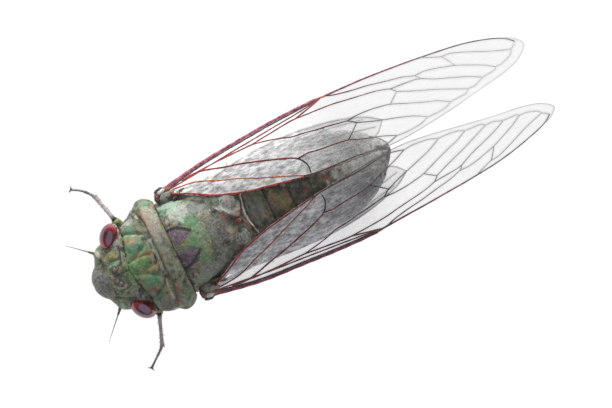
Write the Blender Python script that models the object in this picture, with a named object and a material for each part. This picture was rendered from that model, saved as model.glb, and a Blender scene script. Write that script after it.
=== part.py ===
"""A cicada at rest, life size, as a still model that stands on its six feet.

The head points along -Y, the animal's left is +X and the floor is at Z = 0. Sizes are in millimetres
and become metres where a mesh is made. A place is given as (x, aft, z): x outwards from the middle
of the body, aft back from the front of the face, and z up from the floor.
"""

import math

import bmesh
import bpy
from mathutils import Matrix, Vector
from mathutils.geometry import delaunay_2d_cdt

MM = 0.001
GAP = 0.3                   # left between neighbours that touch

# Driving dimensions
BODY_LENGTH = 40.2          # front of the face to the end of the abdomen
WING_REACH = 60.5           # front of the face to the wing tips
FEELER_REACH = -1.2         # the feelers pass the face by this much
PRONOTUM_WIDTH = 14.6
ABDOMEN_WIDTH = 13.0
BELLY_CLEARANCE = 3.0       # floor to the belly
EYE_SIZE = (3.4, 2.3, 3.2)  # along its slant, across it, high
EYE_CENTRE = (4.9, 4.3, 9.9)
EYE_SLANT = 34              # degrees that the eye's length is turned from straight across
WING_THICKNESS = 0.5
VEIN_HEIGHT = 0.3           # main veins stand this far above the membrane
HINDWING_DROP = 1.05        # middle of the forewing to the middle of the hindwing

# Where one part of the body ends and the next begins, measured aft on the middle line
HEAD_END = 4.55
PRONOTUM_END = 11.05
THORAX_END = 20.65
MIDDLE_AFT = (FEELER_REACH + WING_REACH) / 2

RING_SIDES = 30
CAP_SHARES = (0.12, 0.45, 0.75)   # sizes of the rings inside each end of a body part

# Each row is (aft, half width, top, bottom), with heights counted from the belly
HEAD_ROWS = [
    (0.03, 0.35, 4.8, 4.0), (0.2, 1.0, 5.7, 3.1), (0.6, 1.7, 6.5, 2.4), (1.2, 2.3, 7.2, 1.9),
    (1.6, 3.1, 7.6, 1.7), (2.05, 3.9, 7.95, 1.6), (2.8, 4.35, 8.35, 1.5), (3.7, 4.6, 8.8, 1.5),
    (HEAD_END, 4.7, 9.1, 1.7),
]
PRONOTUM_ROWS = [
    (HEAD_END + GAP, 5.6, 9.4, 1.2), (5.7, 5.9, 9.8, 1.0), (6.6, 6.15, 10.15, 0.9), (7.6, 6.5, 10.5, 0.9),
    (8.3, 6.85, 10.65, 0.9), (8.7, 7.05, 10.6, 0.9), (9.2, PRONOTUM_WIDTH / 2, 11.1, 0.9),
    (9.8, PRONOTUM_WIDTH / 2, 11.3, 0.8), (10.3, 7.1, 11.4, 0.7), (10.7, 6.8, 11.5, 0.6),
    (PRONOTUM_END, 6.4, 11.5, 0.6),
]
# How far the pronotum's middle lies to the left, as (aft, shift)
PRONOTUM_SWAY = [(HEAD_END + GAP, 0.4), (6.6, 0.4), (8.0, 0.12), (PRONOTUM_END, 0.0)]
# Slanting grooves that part the pronotum's lobes, as (x, aft) on the left and mirrored on the right
PRONOTUM_GROOVES = [
    [(0.9, 5.4), (1.5, 6.9), (2.5, 8.4)],
    [(4.4, 5.6), (4.0, 6.9), (3.0, 8.4)],
]
GROOVE_DEPTH = 0.32
GROOVE_HALF_WIDTH = 0.55
THORAX_ROWS = [
    (PRONOTUM_END + GAP, 6.05, 11.2, 0.5), (12.2, 6.25, 11.6, 0.3), (13.5, 6.15, 11.9, 0.2),
    (15.0, 5.9, 11.8, 0.1), (16.5, 5.4, 11.5, 0.1), (17.8, 5.1, 11.2, 0.1), (18.6, 5.0, 11.0, 0.2),
    (19.3, 5.0, 10.9, 0.2), (20.0, 5.0, 10.5, 0.3), (THORAX_END, 5.0, 9.9, 0.4),
]
ABDOMEN_ROWS = [
    (THORAX_END + GAP, 6.3, 9.2, 0.2), (23.5, ABDOMEN_WIDTH / 2, 9.3, 0.0), (26.0, 6.4, 9.25, 0.0),
    (29.0, 6.1, 9.0, 0.1), (32.0, 5.7, 8.5, 0.4), (34.8, 5.0, 7.7, 1.0), (36.8, 4.0, 6.8, 1.8),
    (38.4, 2.8, 6.0, 2.6), (39.6, 1.4, 5.3, 3.4), (BODY_LENGTH, 0.5, 4.9, 3.9),
]
# How far the abdomen's middle lies to the left, as (aft, shift)
ABDOMEN_SWAY = [(THORAX_END + GAP, 0.0), (28.0, 0.15), (34.0, 0.33), (37.5, 0.3), (BODY_LENGTH, 0.0)]
# Each abdominal ring ends in a low step at these places
RING_EDGES = [23.75, 26.7, 29.4, 32.2, 34.6, 36.7, 38.4]
RING_STEP = 0.22

# The raised cross on the back of the thorax
CROSS_MIDDLE = 19.4
CROSS_HEIGHT = 0.5
CROSS_SPREAD = 1.3          # its arms go out by this for each millimetre along the body
CROSS_REACH = 1.9           # its arms end this far before and behind its middle
ARM_HALF_WIDTH = 0.7
BACK_LEVEL = 8.0            # heights over this belong to the back

# The two forewings lie on one arched sheet. Each row is (aft, height of its ridge over the floor,
# reach out to the front margin, slope at the ridge, slope at the front margin in degrees)
ARCH_ROWS = [
    (13.0, 15.4, 7.4, 7.0, 76.0), (16.0, 15.5, 7.85, 7.0, 78.0), (20.0, 15.3, 8.35, 7.0, 81.0),
    (27.0, 14.9, 9.0, 8.0, 81.0), (34.0, 14.4, 9.2, 14.0, 76.0), (41.0, 13.7, 8.95, 21.0, 67.0),
    (48.0, 12.9, 8.35, 27.0, 60.0), (55.0, 12.1, 7.5, 31.0, 56.0), (61.0, 11.4, 6.7, 33.0, 54.0),
]
# The left wings lie this much further out along the middle of their length
LEFT_WING_SHIFT = 0.55
SHIFTED_LENGTH = (14.0, 56.0)   # the shift fades out at these places
# Their tips lie further out too, the more so towards the hind margin
LEFT_TIP_SHIFT = 1.05
TIP_LENGTH = (40.0, 56.0)       # the tip's shift grows between these places
TIP_TURN = 0.19                 # the tip's shift falls off by this share for each millimetre out
# Their front margins lie further in, as (aft, how much)
LEFT_SQUEEZE = [(15.0, 0.0), (20.0, 0.22), (24.0, 0.50), (28.0, 0.62), (34.0, 0.69), (40.0, 0.88),
                (44.0, 0.74), (48.0, 0.34), (52.0, 0.0), (61.0, 0.0)]
SQUEEZED_WIDTH = (3.0, 9.0)     # the squeeze grows outwards between these places

# Wing outlines and veins are (out from the middle line, aft). A wing outline goes out along the root,
# back along the front margin to the tip and home along the hind margin.
FORE_ROOT = [(6.42, 13.0), (6.5, 12.1), (7.1, 11.9)]
FORE_FRONT = [(7.3, 13.6), (8.2, 19.9), (8.8, 26.9), (9.05, 33.9), (8.75, 40.9), (8.15, 47.9), (7.1, 54.9),
              (5.7, 58.9), (4.2, WING_REACH)]
FORE_HIND = [(2.9, 59.4), (1.8, 55.9), (0.8, 49.9), (0.1, 43.9), (-0.02, 40.0), (0.3, 35.5), (1.0, 29.1),
             (2.3, 22.4), (3.7, 18.2), (5.2, 15.4)]
FORE_VEINS = [
    [(6.9, 12.6), (7.05, 15.2), (7.9, 19.9), (8.5, 26.9), (8.75, 33.9), (8.45, 40.9), (7.9, 47.4)],
    [(6.6, 13.2), (5.3, 16.0), (4.0, 18.3), (2.6, 22.4), (1.3, 29.1), (0.75, 35.0), (0.45, 38.6),
     (0.75, 41.6)],
    [(6.8, 13.4), (6.3, 16.6), (5.0, 20.6), (3.2, 25.0), (1.3, 29.1)],
    [(7.05, 15.2), (6.95, 18.4), (6.2, 21.6), (4.8, 26.4), (3.4, 29.4), (3.35, 32.0), (2.8, 36.0),
     (0.75, 41.6)],
    [(3.4, 29.4), (2.4, 30.1), (1.2, 30.0)],
    [(6.95, 18.4), (7.3, 22.0), (7.2, 25.6), (6.1, 29.9), (5.4, 34.4), (4.95, 36.9), (4.25, 37.8),
     (2.7, 42.4), (1.25, 45.9)],
    [(2.8, 36.0), (3.5, 36.9), (4.25, 37.8)],
    [(7.2, 25.6), (7.75, 29.0), (8.1, 32.0), (8.75, 34.9)],
    [(7.9, 31.0), (7.5, 36.2), (6.95, 40.0), (6.2, 43.3), (5.95, 46.4), (4.9, 49.0), (2.75, 54.1)],
    [(4.95, 36.9), (4.95, 39.8), (4.5, 42.5), (2.9, 46.6), (1.65, 49.3)],
    [(4.5, 42.5), (5.6, 43.9), (6.2, 43.3)],
    [(5.6, 43.9), (3.8, 48.2), (2.15, 51.9)],
    [(8.6, 36.2), (8.05, 39.6), (7.3, 43.2), (6.45, 47.0), (5.8, 50.4), (4.6, 53.5), (3.25, 56.2)],
    [(6.45, 47.0), (5.85, 47.2)],
    [(7.9, 47.4), (7.05, 50.8), (6.2, 53.9), (4.4, 58.6)],
    [(7.05, 50.8), (5.75, 51.0)],
    [(0.75, 41.6), (1.25, 45.9), (2.15, 51.9), (3.25, 56.2), (4.4, 58.6)],
]
HIND_ROOT = [(5.9, 17.4), (6.35, 17.3)]
HIND_FRONT = [(7.1, 21.0), (7.6, 26.0), (7.4, 31.0), (6.6, 35.5), (5.4, 39.0), (3.9, 40.9)]
HIND_HIND = [(2.3, 39.4), (1.5, 36.0), (1.4, 31.0), (1.9, 27.0), (2.8, 23.0), (4.2, 19.8)]
HIND_VEINS = [
    [(6.2, 18.0), (6.8, 21.4), (7.2, 26.0), (7.0, 31.0), (6.2, 35.4)],
    [(6.1, 18.4), (5.9, 22.6), (5.5, 28.0), (4.6, 34.0), (3.4, 38.6)],
    [(5.5, 28.0), (5.9, 33.0), (5.0, 38.0)],
    [(5.8, 18.6), (4.6, 22.6), (3.6, 28.0), (2.6, 34.0), (2.2, 37.6)],
]
VEIN_HALF_WIDTH = 0.26
WING_GRID = 1.9             # spacing of the membrane's own points

# Legs, in places (x, aft, z): the coxa's two ends, the knee, the ankle and the toe. Where the right leg
# stands otherwise than the left, it has its own ankle and toe
LEGS = {
    "front": {
        "coxa": [(2.7, 7.3, 3.95), (3.0, 6.8, 2.7)],
        "knee": (6.4, 5.85, 5.9),
        "ankle": (10.15, 4.4, 0.75),
        "toe": (11.9, 2.2),
        "right_ankle": (10.0, 4.85, 0.75),
        "right_toe": (12.1, 2.5),
        "femur_radius": 0.72,
    },
    "mid": {
        "coxa": [(3.1, 12.9, 3.3), (3.4, 13.2, 2.2)],
        "knee": (6.3, 14.2, 5.0),
        "ankle": (6.0, 18.4, 0.75),
        "toe": (6.35, 21.2),
        "femur_radius": 0.56,
    },
    "hind": {
        "coxa": [(2.9, 17.9, 3.2), (3.2, 18.4, 2.2)],
        "knee": (5.7, 23.2, 3.4),
        "ankle": (5.0, 31.0, 0.75),
        "toe": (5.4, 33.9),
        "femur_radius": 0.56,
    },
}
COXA_RADIUS = 0.8
TIBIA_RADIUS = 0.33
KNEE_RADIUS = 0.45
FOOT_WIDTH = 0.62
FOOT_HEIGHT = 0.5
# The foot's outline as (share of its length, share of its half width)
FOOT_OUTLINE = [(0.0, 0.75), (0.1, 1.0), (0.45, 0.85), (0.8, 0.8), (0.95, 1.0)]
CLAW_LENGTH = 0.55
CLAW_SPREAD = 1.9           # how far out the claws end, in half widths of the foot
CLAW_HEIGHTS = (0.35, 0.7)  # shares of the foot's height at the claws' fork and tips

# The feelers' roots and tips as (x, aft, z), and the radius along them as (share of the length, radius)
FEELER_ROOT = (3.95, 1.8, 8.4)
FEELER_TIPS = {"left": (6.9, FEELER_REACH, 9.3), "right": (6.1, FEELER_REACH + 0.3, 9.3)}
FEELER_RADII = [(0.0, 0.25), (0.03, 0.36), (0.2, 0.34), (0.24, 0.26), (0.5, 0.25), (0.8, 0.2), (0.98, 0.14),
                (1.0, 0.07)]

# The beak's middle line as (aft, z), and its radius at both ends
BEAK_BENDS = [(2.6, 3.75), (3.4, 3.45), (6.0, 3.2), (9.5, 2.85), (13.8, 2.35)]
BEAK_RADII = (0.55, 0.25)

COLOURS = {
    "shell": ((0.16, 0.19, 0.12), 0.55),
    "eye": ((0.13, 0.01, 0.015), 0.12),
    "wing": ((0.62, 0.63, 0.60), 0.3),
    "leg": ((0.14, 0.10, 0.09), 0.5),
}


def place(x, aft, z):
    """Turn a place in millimetres into a point of the model in metres."""
    return Vector((x, aft - MIDDLE_AFT, z)) * MM


def between(rows, aft, column):
    """Read a column of a table at a place between its rows, on a smooth curve."""
    if aft <= rows[0][0]:
        return rows[0][column]
    for index in range(len(rows) - 1):
        start, end = rows[index], rows[index + 1]
        if aft <= end[0]:
            before = rows[max(index - 1, 0)]
            after = rows[min(index + 2, len(rows) - 1)]
            span = end[0] - start[0]
            slope_in = (end[column] - before[column]) / (end[0] - before[0]) * span
            slope_out = (after[column] - start[column]) / (after[0] - start[0]) * span
            t = (aft - start[0]) / span
            return ((2 * t**3 - 3 * t**2 + 1) * start[column] + (t**3 - 2 * t**2 + t) * slope_in
                    + (3 * t**2 - 2 * t**3) * end[column] + (t**3 - t**2) * slope_out)
    return rows[-1][column]


def smooth_path(points, step):
    """Run a smooth line through a few points and return places on it about a step apart."""
    points = [Vector(point) for point in points]
    line = [points[0]]
    for index in range(len(points) - 1):
        start, end = points[index], points[index + 1]
        before = points[index - 1] if index else start * 2 - end
        after = points[index + 2] if index + 2 < len(points) else end * 2 - start
        pieces = max(1, round((end - start).length / step))
        for piece in range(1, pieces + 1):
            t = piece / pieces
            line.append((start * 2 + (end - before) * t + (before * 2 - start * 5 + end * 4 - after) * t**2
                         + (start * 3 - before - end * 3 + after) * t**3) / 2)
    return line


def material(name):
    """Make the plain finish of one kind of surface."""
    colour, roughness = COLOURS[name]
    finish = bpy.data.materials.new(name)
    finish.use_nodes = True
    shader = finish.node_tree.nodes["Principled BSDF"]
    shader.inputs["Base Color"].default_value = (*colour, 1.0)
    shader.inputs["Roughness"].default_value = roughness
    shader.inputs["Metallic"].default_value = 0.0
    return finish


def add_mesh(name, mesh_builder, finish, collection, smooth=True):
    """Write a bmesh to a named object and put it in a collection."""
    bmesh.ops.recalc_face_normals(mesh_builder, faces=mesh_builder.faces)
    mesh = bpy.data.meshes.new(name)
    mesh_builder.to_mesh(mesh)
    mesh_builder.free()
    if smooth:
        mesh.shade_smooth()
    if finish:
        mesh.materials.append(finish)
    thing = bpy.data.objects.new(name, mesh)
    collection.objects.link(thing)
    return thing


def cut(target, cutter):
    """Take a cutter's shape out of an object."""
    modifier = target.modifiers.new("cut_" + cutter.name, "BOOLEAN")
    modifier.operation = "DIFFERENCE"
    modifier.solver = "EXACT"
    modifier.object = cutter


def body_ring(half_width, top, bottom, waist, upper_power, lower_power):
    """Return the (x, height) points of one cross-section, flatter below than above."""
    ring = []
    for side in range(RING_SIDES):
        angle = 2 * math.pi * side / RING_SIDES
        across, up = math.cos(angle), math.sin(angle)
        power = upper_power if up >= 0 else lower_power
        reach = top - waist if up >= 0 else waist - bottom
        ring.append((math.copysign(abs(across) ** (2 / power), across) * half_width,
                     waist + math.copysign(abs(up) ** (2 / power), up) * reach))
    return ring


def loft(name, rings, finish, collection):
    """Join closed rings of points into one closed body with flat-topped caps."""
    builder = bmesh.new()
    loops = [[builder.verts.new(point) for point in ring] for ring in rings]
    count = len(rings[0])
    for near, far in zip(loops, loops[1:]):
        for side in range(count):
            after = (side + 1) % count
            builder.faces.new((near[side], near[after], far[after], far[side]))
    builder.faces.new(loops[0])
    builder.faces.new(loops[-1])
    bmesh.ops.triangulate(builder, faces=[face for face in builder.faces if len(face.verts) > 4])
    return add_mesh(name, builder, finish, collection)


def joint_bow(x):
    """How far the joint of head and pronotum falls back away from the middle line."""
    return 0.275 * (math.sqrt(x * x + 1) - 1)


def capped_rings(stations, ring_at, aft_at):
    """Build the rings of a body part, with smaller rings inside both ends to carry the bowed caps."""
    order = ([(stations[0], scale) for scale in CAP_SHARES] + [(station, 1.0) for station in stations]
             + [(stations[-1], scale) for scale in reversed(CAP_SHARES)])
    rings = []
    for station, scale in order:
        ring = ring_at(station)
        middle = (max(z for x, z in ring) + min(z for x, z in ring)) / 2
        height = BELLY_CLEARANCE + middle
        rings.append([place(x * scale, aft_at(station, x * scale), height + (z - middle) * scale)
                      for x, z in ring])
    return rings


def steps(start, end, count):
    """Return evenly spaced stations from start to end."""
    return [start + (end - start) * index / count for index in range(count + 1)]


def build_head(finish, collection):
    """Build the head with its bulging face, up to the joint with the pronotum."""
    length = HEAD_END - HEAD_ROWS[0][0]
    stations = [HEAD_ROWS[0][0] + length * (index / 15) ** 1.7 for index in range(16)]

    def ring_at(station):
        half_width, top, bottom = (between(HEAD_ROWS, station, column) for column in (1, 2, 3))
        return body_ring(half_width, top, bottom, bottom + (top - bottom) * 0.55, 2.2, 2.0)

    def aft_at(station, x):
        return station + joint_bow(x) * (station / HEAD_END) ** 2

    return loft("head", capped_rings(stations, ring_at, aft_at), finish, collection)


def build_pronotum(finish, collection):
    """Build the front ring of the thorax, whose shield flares into a collar at its rear margin."""
    start = PRONOTUM_ROWS[0][0]
    stations = steps(start, 8.4, 7) + steps(8.7, PRONOTUM_END, 9)
    grooves = [smooth_path(groove, 0.5) for groove in PRONOTUM_GROOVES]

    def ring_at(station):
        half_width, top, bottom = (between(PRONOTUM_ROWS, station, column) for column in (1, 2, 3))
        ring = []
        for x, z in body_ring(half_width, top, bottom, 6.1, 2.3, 1.8):
            x += between(PRONOTUM_SWAY, station, 1)
            away = min(nearest_on(groove, Vector((abs(x), station))) for groove in grooves)
            sunk = GROOVE_DEPTH * math.exp(-(away / GROOVE_HALF_WIDTH) ** 2) if z > BACK_LEVEL else 0.0
            ring.append((x, z - sunk))
        return ring

    def aft_at(station, x):
        fade = max(0.0, 1 - (station - start) / 4.0)
        return station + joint_bow(x) * fade

    return loft("pronotum", capped_rings(stations, ring_at, aft_at), finish, collection)


def build_thorax(finish, collection):
    """Build the winged part of the thorax with the raised cross on its back."""
    stations = steps(PRONOTUM_END + GAP, THORAX_END, 18)

    def ring_at(station):
        half_width, top, bottom = (between(THORAX_ROWS, station, column) for column in (1, 2, 3))
        ring = []
        for x, z in body_ring(half_width, top, bottom, 6.2, 2.0, 2.2):
            arm = abs(abs(x) - CROSS_SPREAD * abs(station - CROSS_MIDDLE))
            along = max(0.0, 1 - ((station - CROSS_MIDDLE) / CROSS_REACH) ** 2)
            raised = CROSS_HEIGHT * along * math.exp(-(arm / ARM_HALF_WIDTH) ** 2) if z > BACK_LEVEL else 0.0
            ring.append((x, z + raised))
        return ring

    return loft("thorax", capped_rings(stations, ring_at, lambda station, x: station), finish, collection)


def build_abdomen(finish, collection):
    """Build the abdomen as a row of rings, each ending in a low step."""
    start = THORAX_END + GAP
    edges = [start] + RING_EDGES + [BODY_LENGTH]
    stations = [(start, 1.0)]
    for front, rear in zip(edges, edges[1:]):
        stations += [(front + (rear - front) * share, 1 - share) for share in (0.12, 0.55, 0.97)]
    stations[-1] = (BODY_LENGTH, 0.0)
    sunk = dict(stations)

    def ring_at(station):
        half_width, top, bottom = (between(ABDOMEN_ROWS, station, column) for column in (1, 2, 3))
        step = RING_STEP * sunk[station] * min(1.0, half_width / 2)
        lean = between(ABDOMEN_SWAY, station, 1)
        ring = body_ring(half_width - step, top - step, bottom + step, (top + bottom) / 2, 2.0, 2.1)
        return [(x + lean, z) for x, z in ring]

    rings = capped_rings([station for station, share in stations], ring_at, lambda station, x: station)
    return loft("abdomen", rings, finish, collection)


def ellipsoid(name, centre, size, turn, finish, collection, segments=18):
    """Build an egg shape of three sizes at a place, turned by a matrix."""
    builder = bmesh.new()
    bmesh.ops.create_uvsphere(builder, u_segments=segments, v_segments=segments * 2 // 3, radius=0.5 * MM)
    shape = Matrix.Translation(centre) @ turn.to_4x4() @ Matrix.Diagonal((*size, 1.0))
    bmesh.ops.transform(builder, matrix=shape, verts=builder.verts)
    return add_mesh(name, builder, finish, collection)


def build_eye(side, sign, head, pronotum, finishes, collection, cutters):
    """Build an eye and the socket that holds it at the corner of the head."""
    turn = Matrix.Rotation(math.radians(EYE_SLANT) * sign, 3, "Z")
    x, aft, z = EYE_CENTRE
    centre = place(x * sign, aft, z)
    eye = ellipsoid("eye_" + side, centre, EYE_SIZE, turn, finishes["eye"], collection)
    socket_size = [size + 2 * GAP for size in EYE_SIZE]
    socket = ellipsoid("socket_" + side, centre, socket_size, turn, None, cutters)
    socket.hide_render = True
    socket.display_type = "WIRE"
    cut(head, socket)
    cut(pronotum, socket)
    return eye


def tube(name, line, radii, finish, collection, sides=8):
    """Build a round limb along a line of points in metres, with a radius in millimetres at each."""
    curve = bpy.data.curves.new(name, "CURVE")
    curve.dimensions = "3D"
    curve.bevel_depth = MM
    curve.bevel_resolution = sides // 2 - 2
    curve.use_fill_caps = True
    spline = curve.splines.new("POLY")
    spline.points.add(len(line) - 1)
    for point, where, radius in zip(spline.points, line, radii):
        point.co = (*where, 1.0)
        point.radius = radius
    if finish:
        curve.materials.append(finish)
    thing = bpy.data.objects.new(name, curve)
    collection.objects.link(thing)
    return thing


def taper(root, tip, radius, belly, ends):
    """Return a line from root to tip, closed by rounded ends, and the radius at each of its points."""
    shares = (0.0, 0.03, 0.12, 0.35, 0.65, 0.88, 0.97, 1.0)
    line = [root.lerp(tip, share) for share in shares]
    radii = []
    for share in shares:
        size = radius * (ends + (belly - ends) * math.sin(math.pi * share))
        rounding = 0.72 if share in (0.0, 1.0) else 1.0
        radii.append(size * rounding)
    return line, radii


def build_leg(name, sign, sizes, finish, collection):
    """Build one leg of four pieces: coxa, femur, tibia and the foot, which lies flat on the floor."""
    coxa_top, coxa_end = (place(x * sign, aft, z) for x, aft, z in sizes["coxa"])
    knee = place(sizes["knee"][0] * sign, *sizes["knee"][1:])
    ankle, toe = sizes["ankle"], sizes["toe"]
    if sign < 0:
        ankle, toe = sizes.get("right_ankle", ankle), sizes.get("right_toe", toe)
    ankle = place(ankle[0] * sign, *ankle[1:])
    toe = place(toe[0] * sign, toe[1], 0.0)
    line, radii = taper(coxa_top, coxa_end, COXA_RADIUS, 1.0, 0.9)
    tube(name + "_coxa", line, radii, finish, collection)
    along = (knee - coxa_end).normalized()
    femur_root = coxa_end + along * (COXA_RADIUS + GAP + 0.1) * MM
    line, radii = taper(femur_root, knee, sizes["femur_radius"], 1.0, 0.65)
    tube(name + "_femur", line, radii, finish, collection)
    along = (ankle - knee).normalized()
    line, radii = taper(knee + along * (KNEE_RADIUS + GAP) * MM, ankle, TIBIA_RADIUS, 0.85, 1.0)
    tube(name + "_tibia", line, radii, finish, collection)
    build_foot(name + "_tarsus", ankle, toe, finish, collection)


def build_foot(name, ankle, toe, finish, collection):
    """Build a foot: a low tapering block, flat below, that forks into two claws."""
    heel = Vector((ankle.x, ankle.y, 0.0))
    along = (toe - heel).normalized()
    across = Vector((-along.y, along.x, 0.0))
    start = heel + along * (TIBIA_RADIUS + 0.12) * MM
    reach = (toe - start).length
    half = FOOT_WIDTH / 2 * MM
    claw = CLAW_LENGTH * MM
    left = [start + along * reach * t + across * half * w for t, w in FOOT_OUTLINE]
    right = [start + along * reach * t - across * half * w for t, w in FOOT_OUTLINE]
    tip_left = start + along * (reach + claw) + across * half * CLAW_SPREAD
    tip_right = start + along * (reach + claw) - across * half * CLAW_SPREAD
    fork = start + along * (reach + 0.1 * claw)
    flat = left + [tip_left, fork, tip_right] + right[::-1]
    shares = [1.0] * 4 + [CLAW_HEIGHTS[1]] + [CLAW_HEIGHTS[0]] * 3 + [CLAW_HEIGHTS[1]] + [1.0] * 4
    builder = bmesh.new()
    ring_low = [builder.verts.new((point.x, point.y, 0.0)) for point in flat]
    ring_high = [builder.verts.new((point.x, point.y, FOOT_HEIGHT * share * MM))
                 for point, share in zip(flat, shares)]
    count = len(flat)
    for index in range(count):
        after = (index + 1) % count
        builder.faces.new((ring_low[index], ring_low[after], ring_high[after], ring_high[index]))
    builder.faces.new(ring_low)
    builder.faces.new(ring_high)
    bmesh.ops.triangulate(builder, faces=[face for face in builder.faces if len(face.verts) > 4])
    return add_mesh(name, builder, finish, collection, smooth=False)


def arch_point(out, aft, drop):
    """Return the place of a wing point on the arched sheet, or a drop below it."""
    ridge, reach, slope_in, slope_out = (between(ARCH_ROWS, aft, column) for column in (1, 2, 3, 4))
    slope_in, slope_out = math.radians(slope_in), math.radians(slope_out)
    radius = reach / (math.sin(slope_out) - math.sin(slope_in))
    angle = math.asin(max(-0.3, min(0.998, math.sin(slope_in) + out / radius)))
    height = ridge - radius * (math.cos(slope_in) - math.cos(angle))
    return Vector((out - math.sin(angle) * drop, aft, height - math.cos(angle) * drop))


def share_between(ends, value):
    """How far a value lies between two ends, from 0 to 1."""
    start, end = ends
    return min(1.0, max(0.0, (value - start) / (end - start)))


def wing_shift(out, aft, sign):
    """How much further out the left wings lie at a place on them."""
    if sign < 0:
        return 0.0
    tip = share_between(TIP_LENGTH, aft)
    return (LEFT_WING_SHIFT * math.sin(math.pi * share_between(SHIFTED_LENGTH, aft))
            + LEFT_TIP_SHIFT * tip * tip * (3 - 2 * tip) * (1 - TIP_TURN * out)
            - between(LEFT_SQUEEZE, aft, 1) * share_between(SQUEEZED_WIDTH, out) ** 1.5)


def nearest_on(line, point):
    """Return the distance from a flat point to a line of points."""
    best = 1e9
    for start, end in zip(line, line[1:]):
        run = end - start
        share = max(0.0, min(1.0, (point - start).dot(run) / run.length_squared))
        best = min(best, (start + run * share - point).length)
    return best


def build_wing(name, sign, outline, veins, drop, finish, collection):
    """Build a wing as one arched plate whose veins are raised in its upper face."""
    edge = smooth_path(outline, 1.6)
    lines = [smooth_path(vein, 1.7) for vein in veins]
    corners = list(edge)
    bars = []
    for line in lines:
        rows = []
        for index, point in enumerate(line):
            run = (line[min(index + 1, len(line) - 1)] - line[max(index - 1, 0)]).normalized()
            across = Vector((-run.y, run.x)) * VEIN_HALF_WIDTH
            rows.append((point - across, point, point + across))
        for strand in range(3):
            first = len(corners)
            corners += [row[strand] for row in rows]
            bars += [(first + index, first + index + 1) for index in range(len(rows) - 1)]
    low = [min(point[axis] for point in edge) for axis in (0, 1)]
    high = [max(point[axis] for point in edge) for axis in (0, 1)]
    for row in range(int((high[1] - low[1]) / WING_GRID) + 1):
        for column in range(int((high[0] - low[0]) / WING_GRID) + 1):
            point = Vector((low[0] + (column + 0.5 * (row % 2)) * WING_GRID, low[1] + row * WING_GRID))
            if min(nearest_on(line, point) for line in lines + [edge + [edge[0]]]) > WING_GRID * 0.4:
                corners.append(point)
    margin = list(range(len(edge)))
    flat, _, faces, *_ = delaunay_2d_cdt(corners, bars, [margin], 1, 0.02)
    flat, faces = tidy_flat(flat, faces, edge)
    builder = bmesh.new()
    upper, lower = [], []
    for point in flat:
        distance = min(nearest_on(line, point) for line in lines)
        ridge = VEIN_HEIGHT * max(0.0, 1 - distance / VEIN_HALF_WIDTH)
        shift = wing_shift(point.x, point.y, sign)
        for depth, row in ((drop - WING_THICKNESS / 2 - ridge, upper), (drop + WING_THICKNESS / 2, lower)):
            spot = arch_point(point.x, point.y, depth)
            row.append(builder.verts.new(place((spot.x + shift) * sign, spot.y, spot.z)))
    edges = {}
    for corner in faces:
        builder.faces.new([upper[index] for index in corner])
        builder.faces.new([lower[index] for index in reversed(corner)])
        for a, b in zip(corner, corner[1:] + corner[:1]):
            edges[(a, b)] = (b, a) in edges
            if edges[(a, b)]:
                edges[(b, a)] = True
    for (a, b), shared in edges.items():
        if not shared:
            builder.faces.new((upper[b], upper[a], lower[a]))
            builder.faces.new((upper[b], lower[a], lower[b]))
    return add_mesh(name, builder, finish, collection, smooth=False)


def tidy_flat(points, faces, edge):
    """Keep the triangles inside the outline, with points that nearly meet made one."""
    builder = bmesh.new()
    corners = [builder.verts.new((*point, 0.0)) for point in points]
    ring = edge + [edge[0]]
    for face in faces:
        middle = sum((points[index] for index in face), Vector((0.0, 0.0))) / len(face)
        if inside(ring, middle):
            builder.faces.new([corners[index] for index in face])
    bmesh.ops.delete(builder, geom=[vert for vert in builder.verts if not vert.link_faces], context="VERTS")
    bmesh.ops.dissolve_degenerate(builder, dist=0.06, edges=builder.edges)
    bmesh.ops.triangulate(builder, faces=builder.faces)
    builder.verts.ensure_lookup_table()
    builder.verts.index_update()
    flat = [Vector(vert.co.xy) for vert in builder.verts]
    triangles = [[vert.index for vert in face.verts] for face in builder.faces]
    builder.free()
    return flat, triangles


def inside(ring, point):
    """Tell whether a flat point lies within a closed ring."""
    hits = False
    for start, end in zip(ring, ring[1:]):
        if (start.y > point.y) != (end.y > point.y):
            cross = start.x + (point.y - start.y) / (end.y - start.y) * (end.x - start.x)
            hits ^= cross > point.x
    return hits


def build_feeler(side, sign, finish, collection):
    """Build a feeler: two thick segments at the root and a thin bristle."""
    x, aft, z = FEELER_ROOT
    tip = FEELER_TIPS[side]
    root = place(x * sign, aft, z)
    end = place(tip[0] * sign, tip[1], tip[2])
    line = [root.lerp(end, share) for share, radius in FEELER_RADII]
    return tube("antenna_" + side, line, [radius for share, radius in FEELER_RADII], finish, collection)


def build_rostrum(finish, collection):
    """Build the beak, folded back under the body between the legs."""
    line = smooth_path([place(0.0, aft, z) for aft, z in BEAK_BENDS], 1.6 * MM)
    thick, thin = BEAK_RADII
    radii = [thick + (thin - thick) * index / (len(line) - 1) for index in range(len(line))]
    radii[0] = 0.65 * thick
    radii[-1] = 0.4 * thin
    return tube("rostrum", line, radii, finish, collection)


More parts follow.
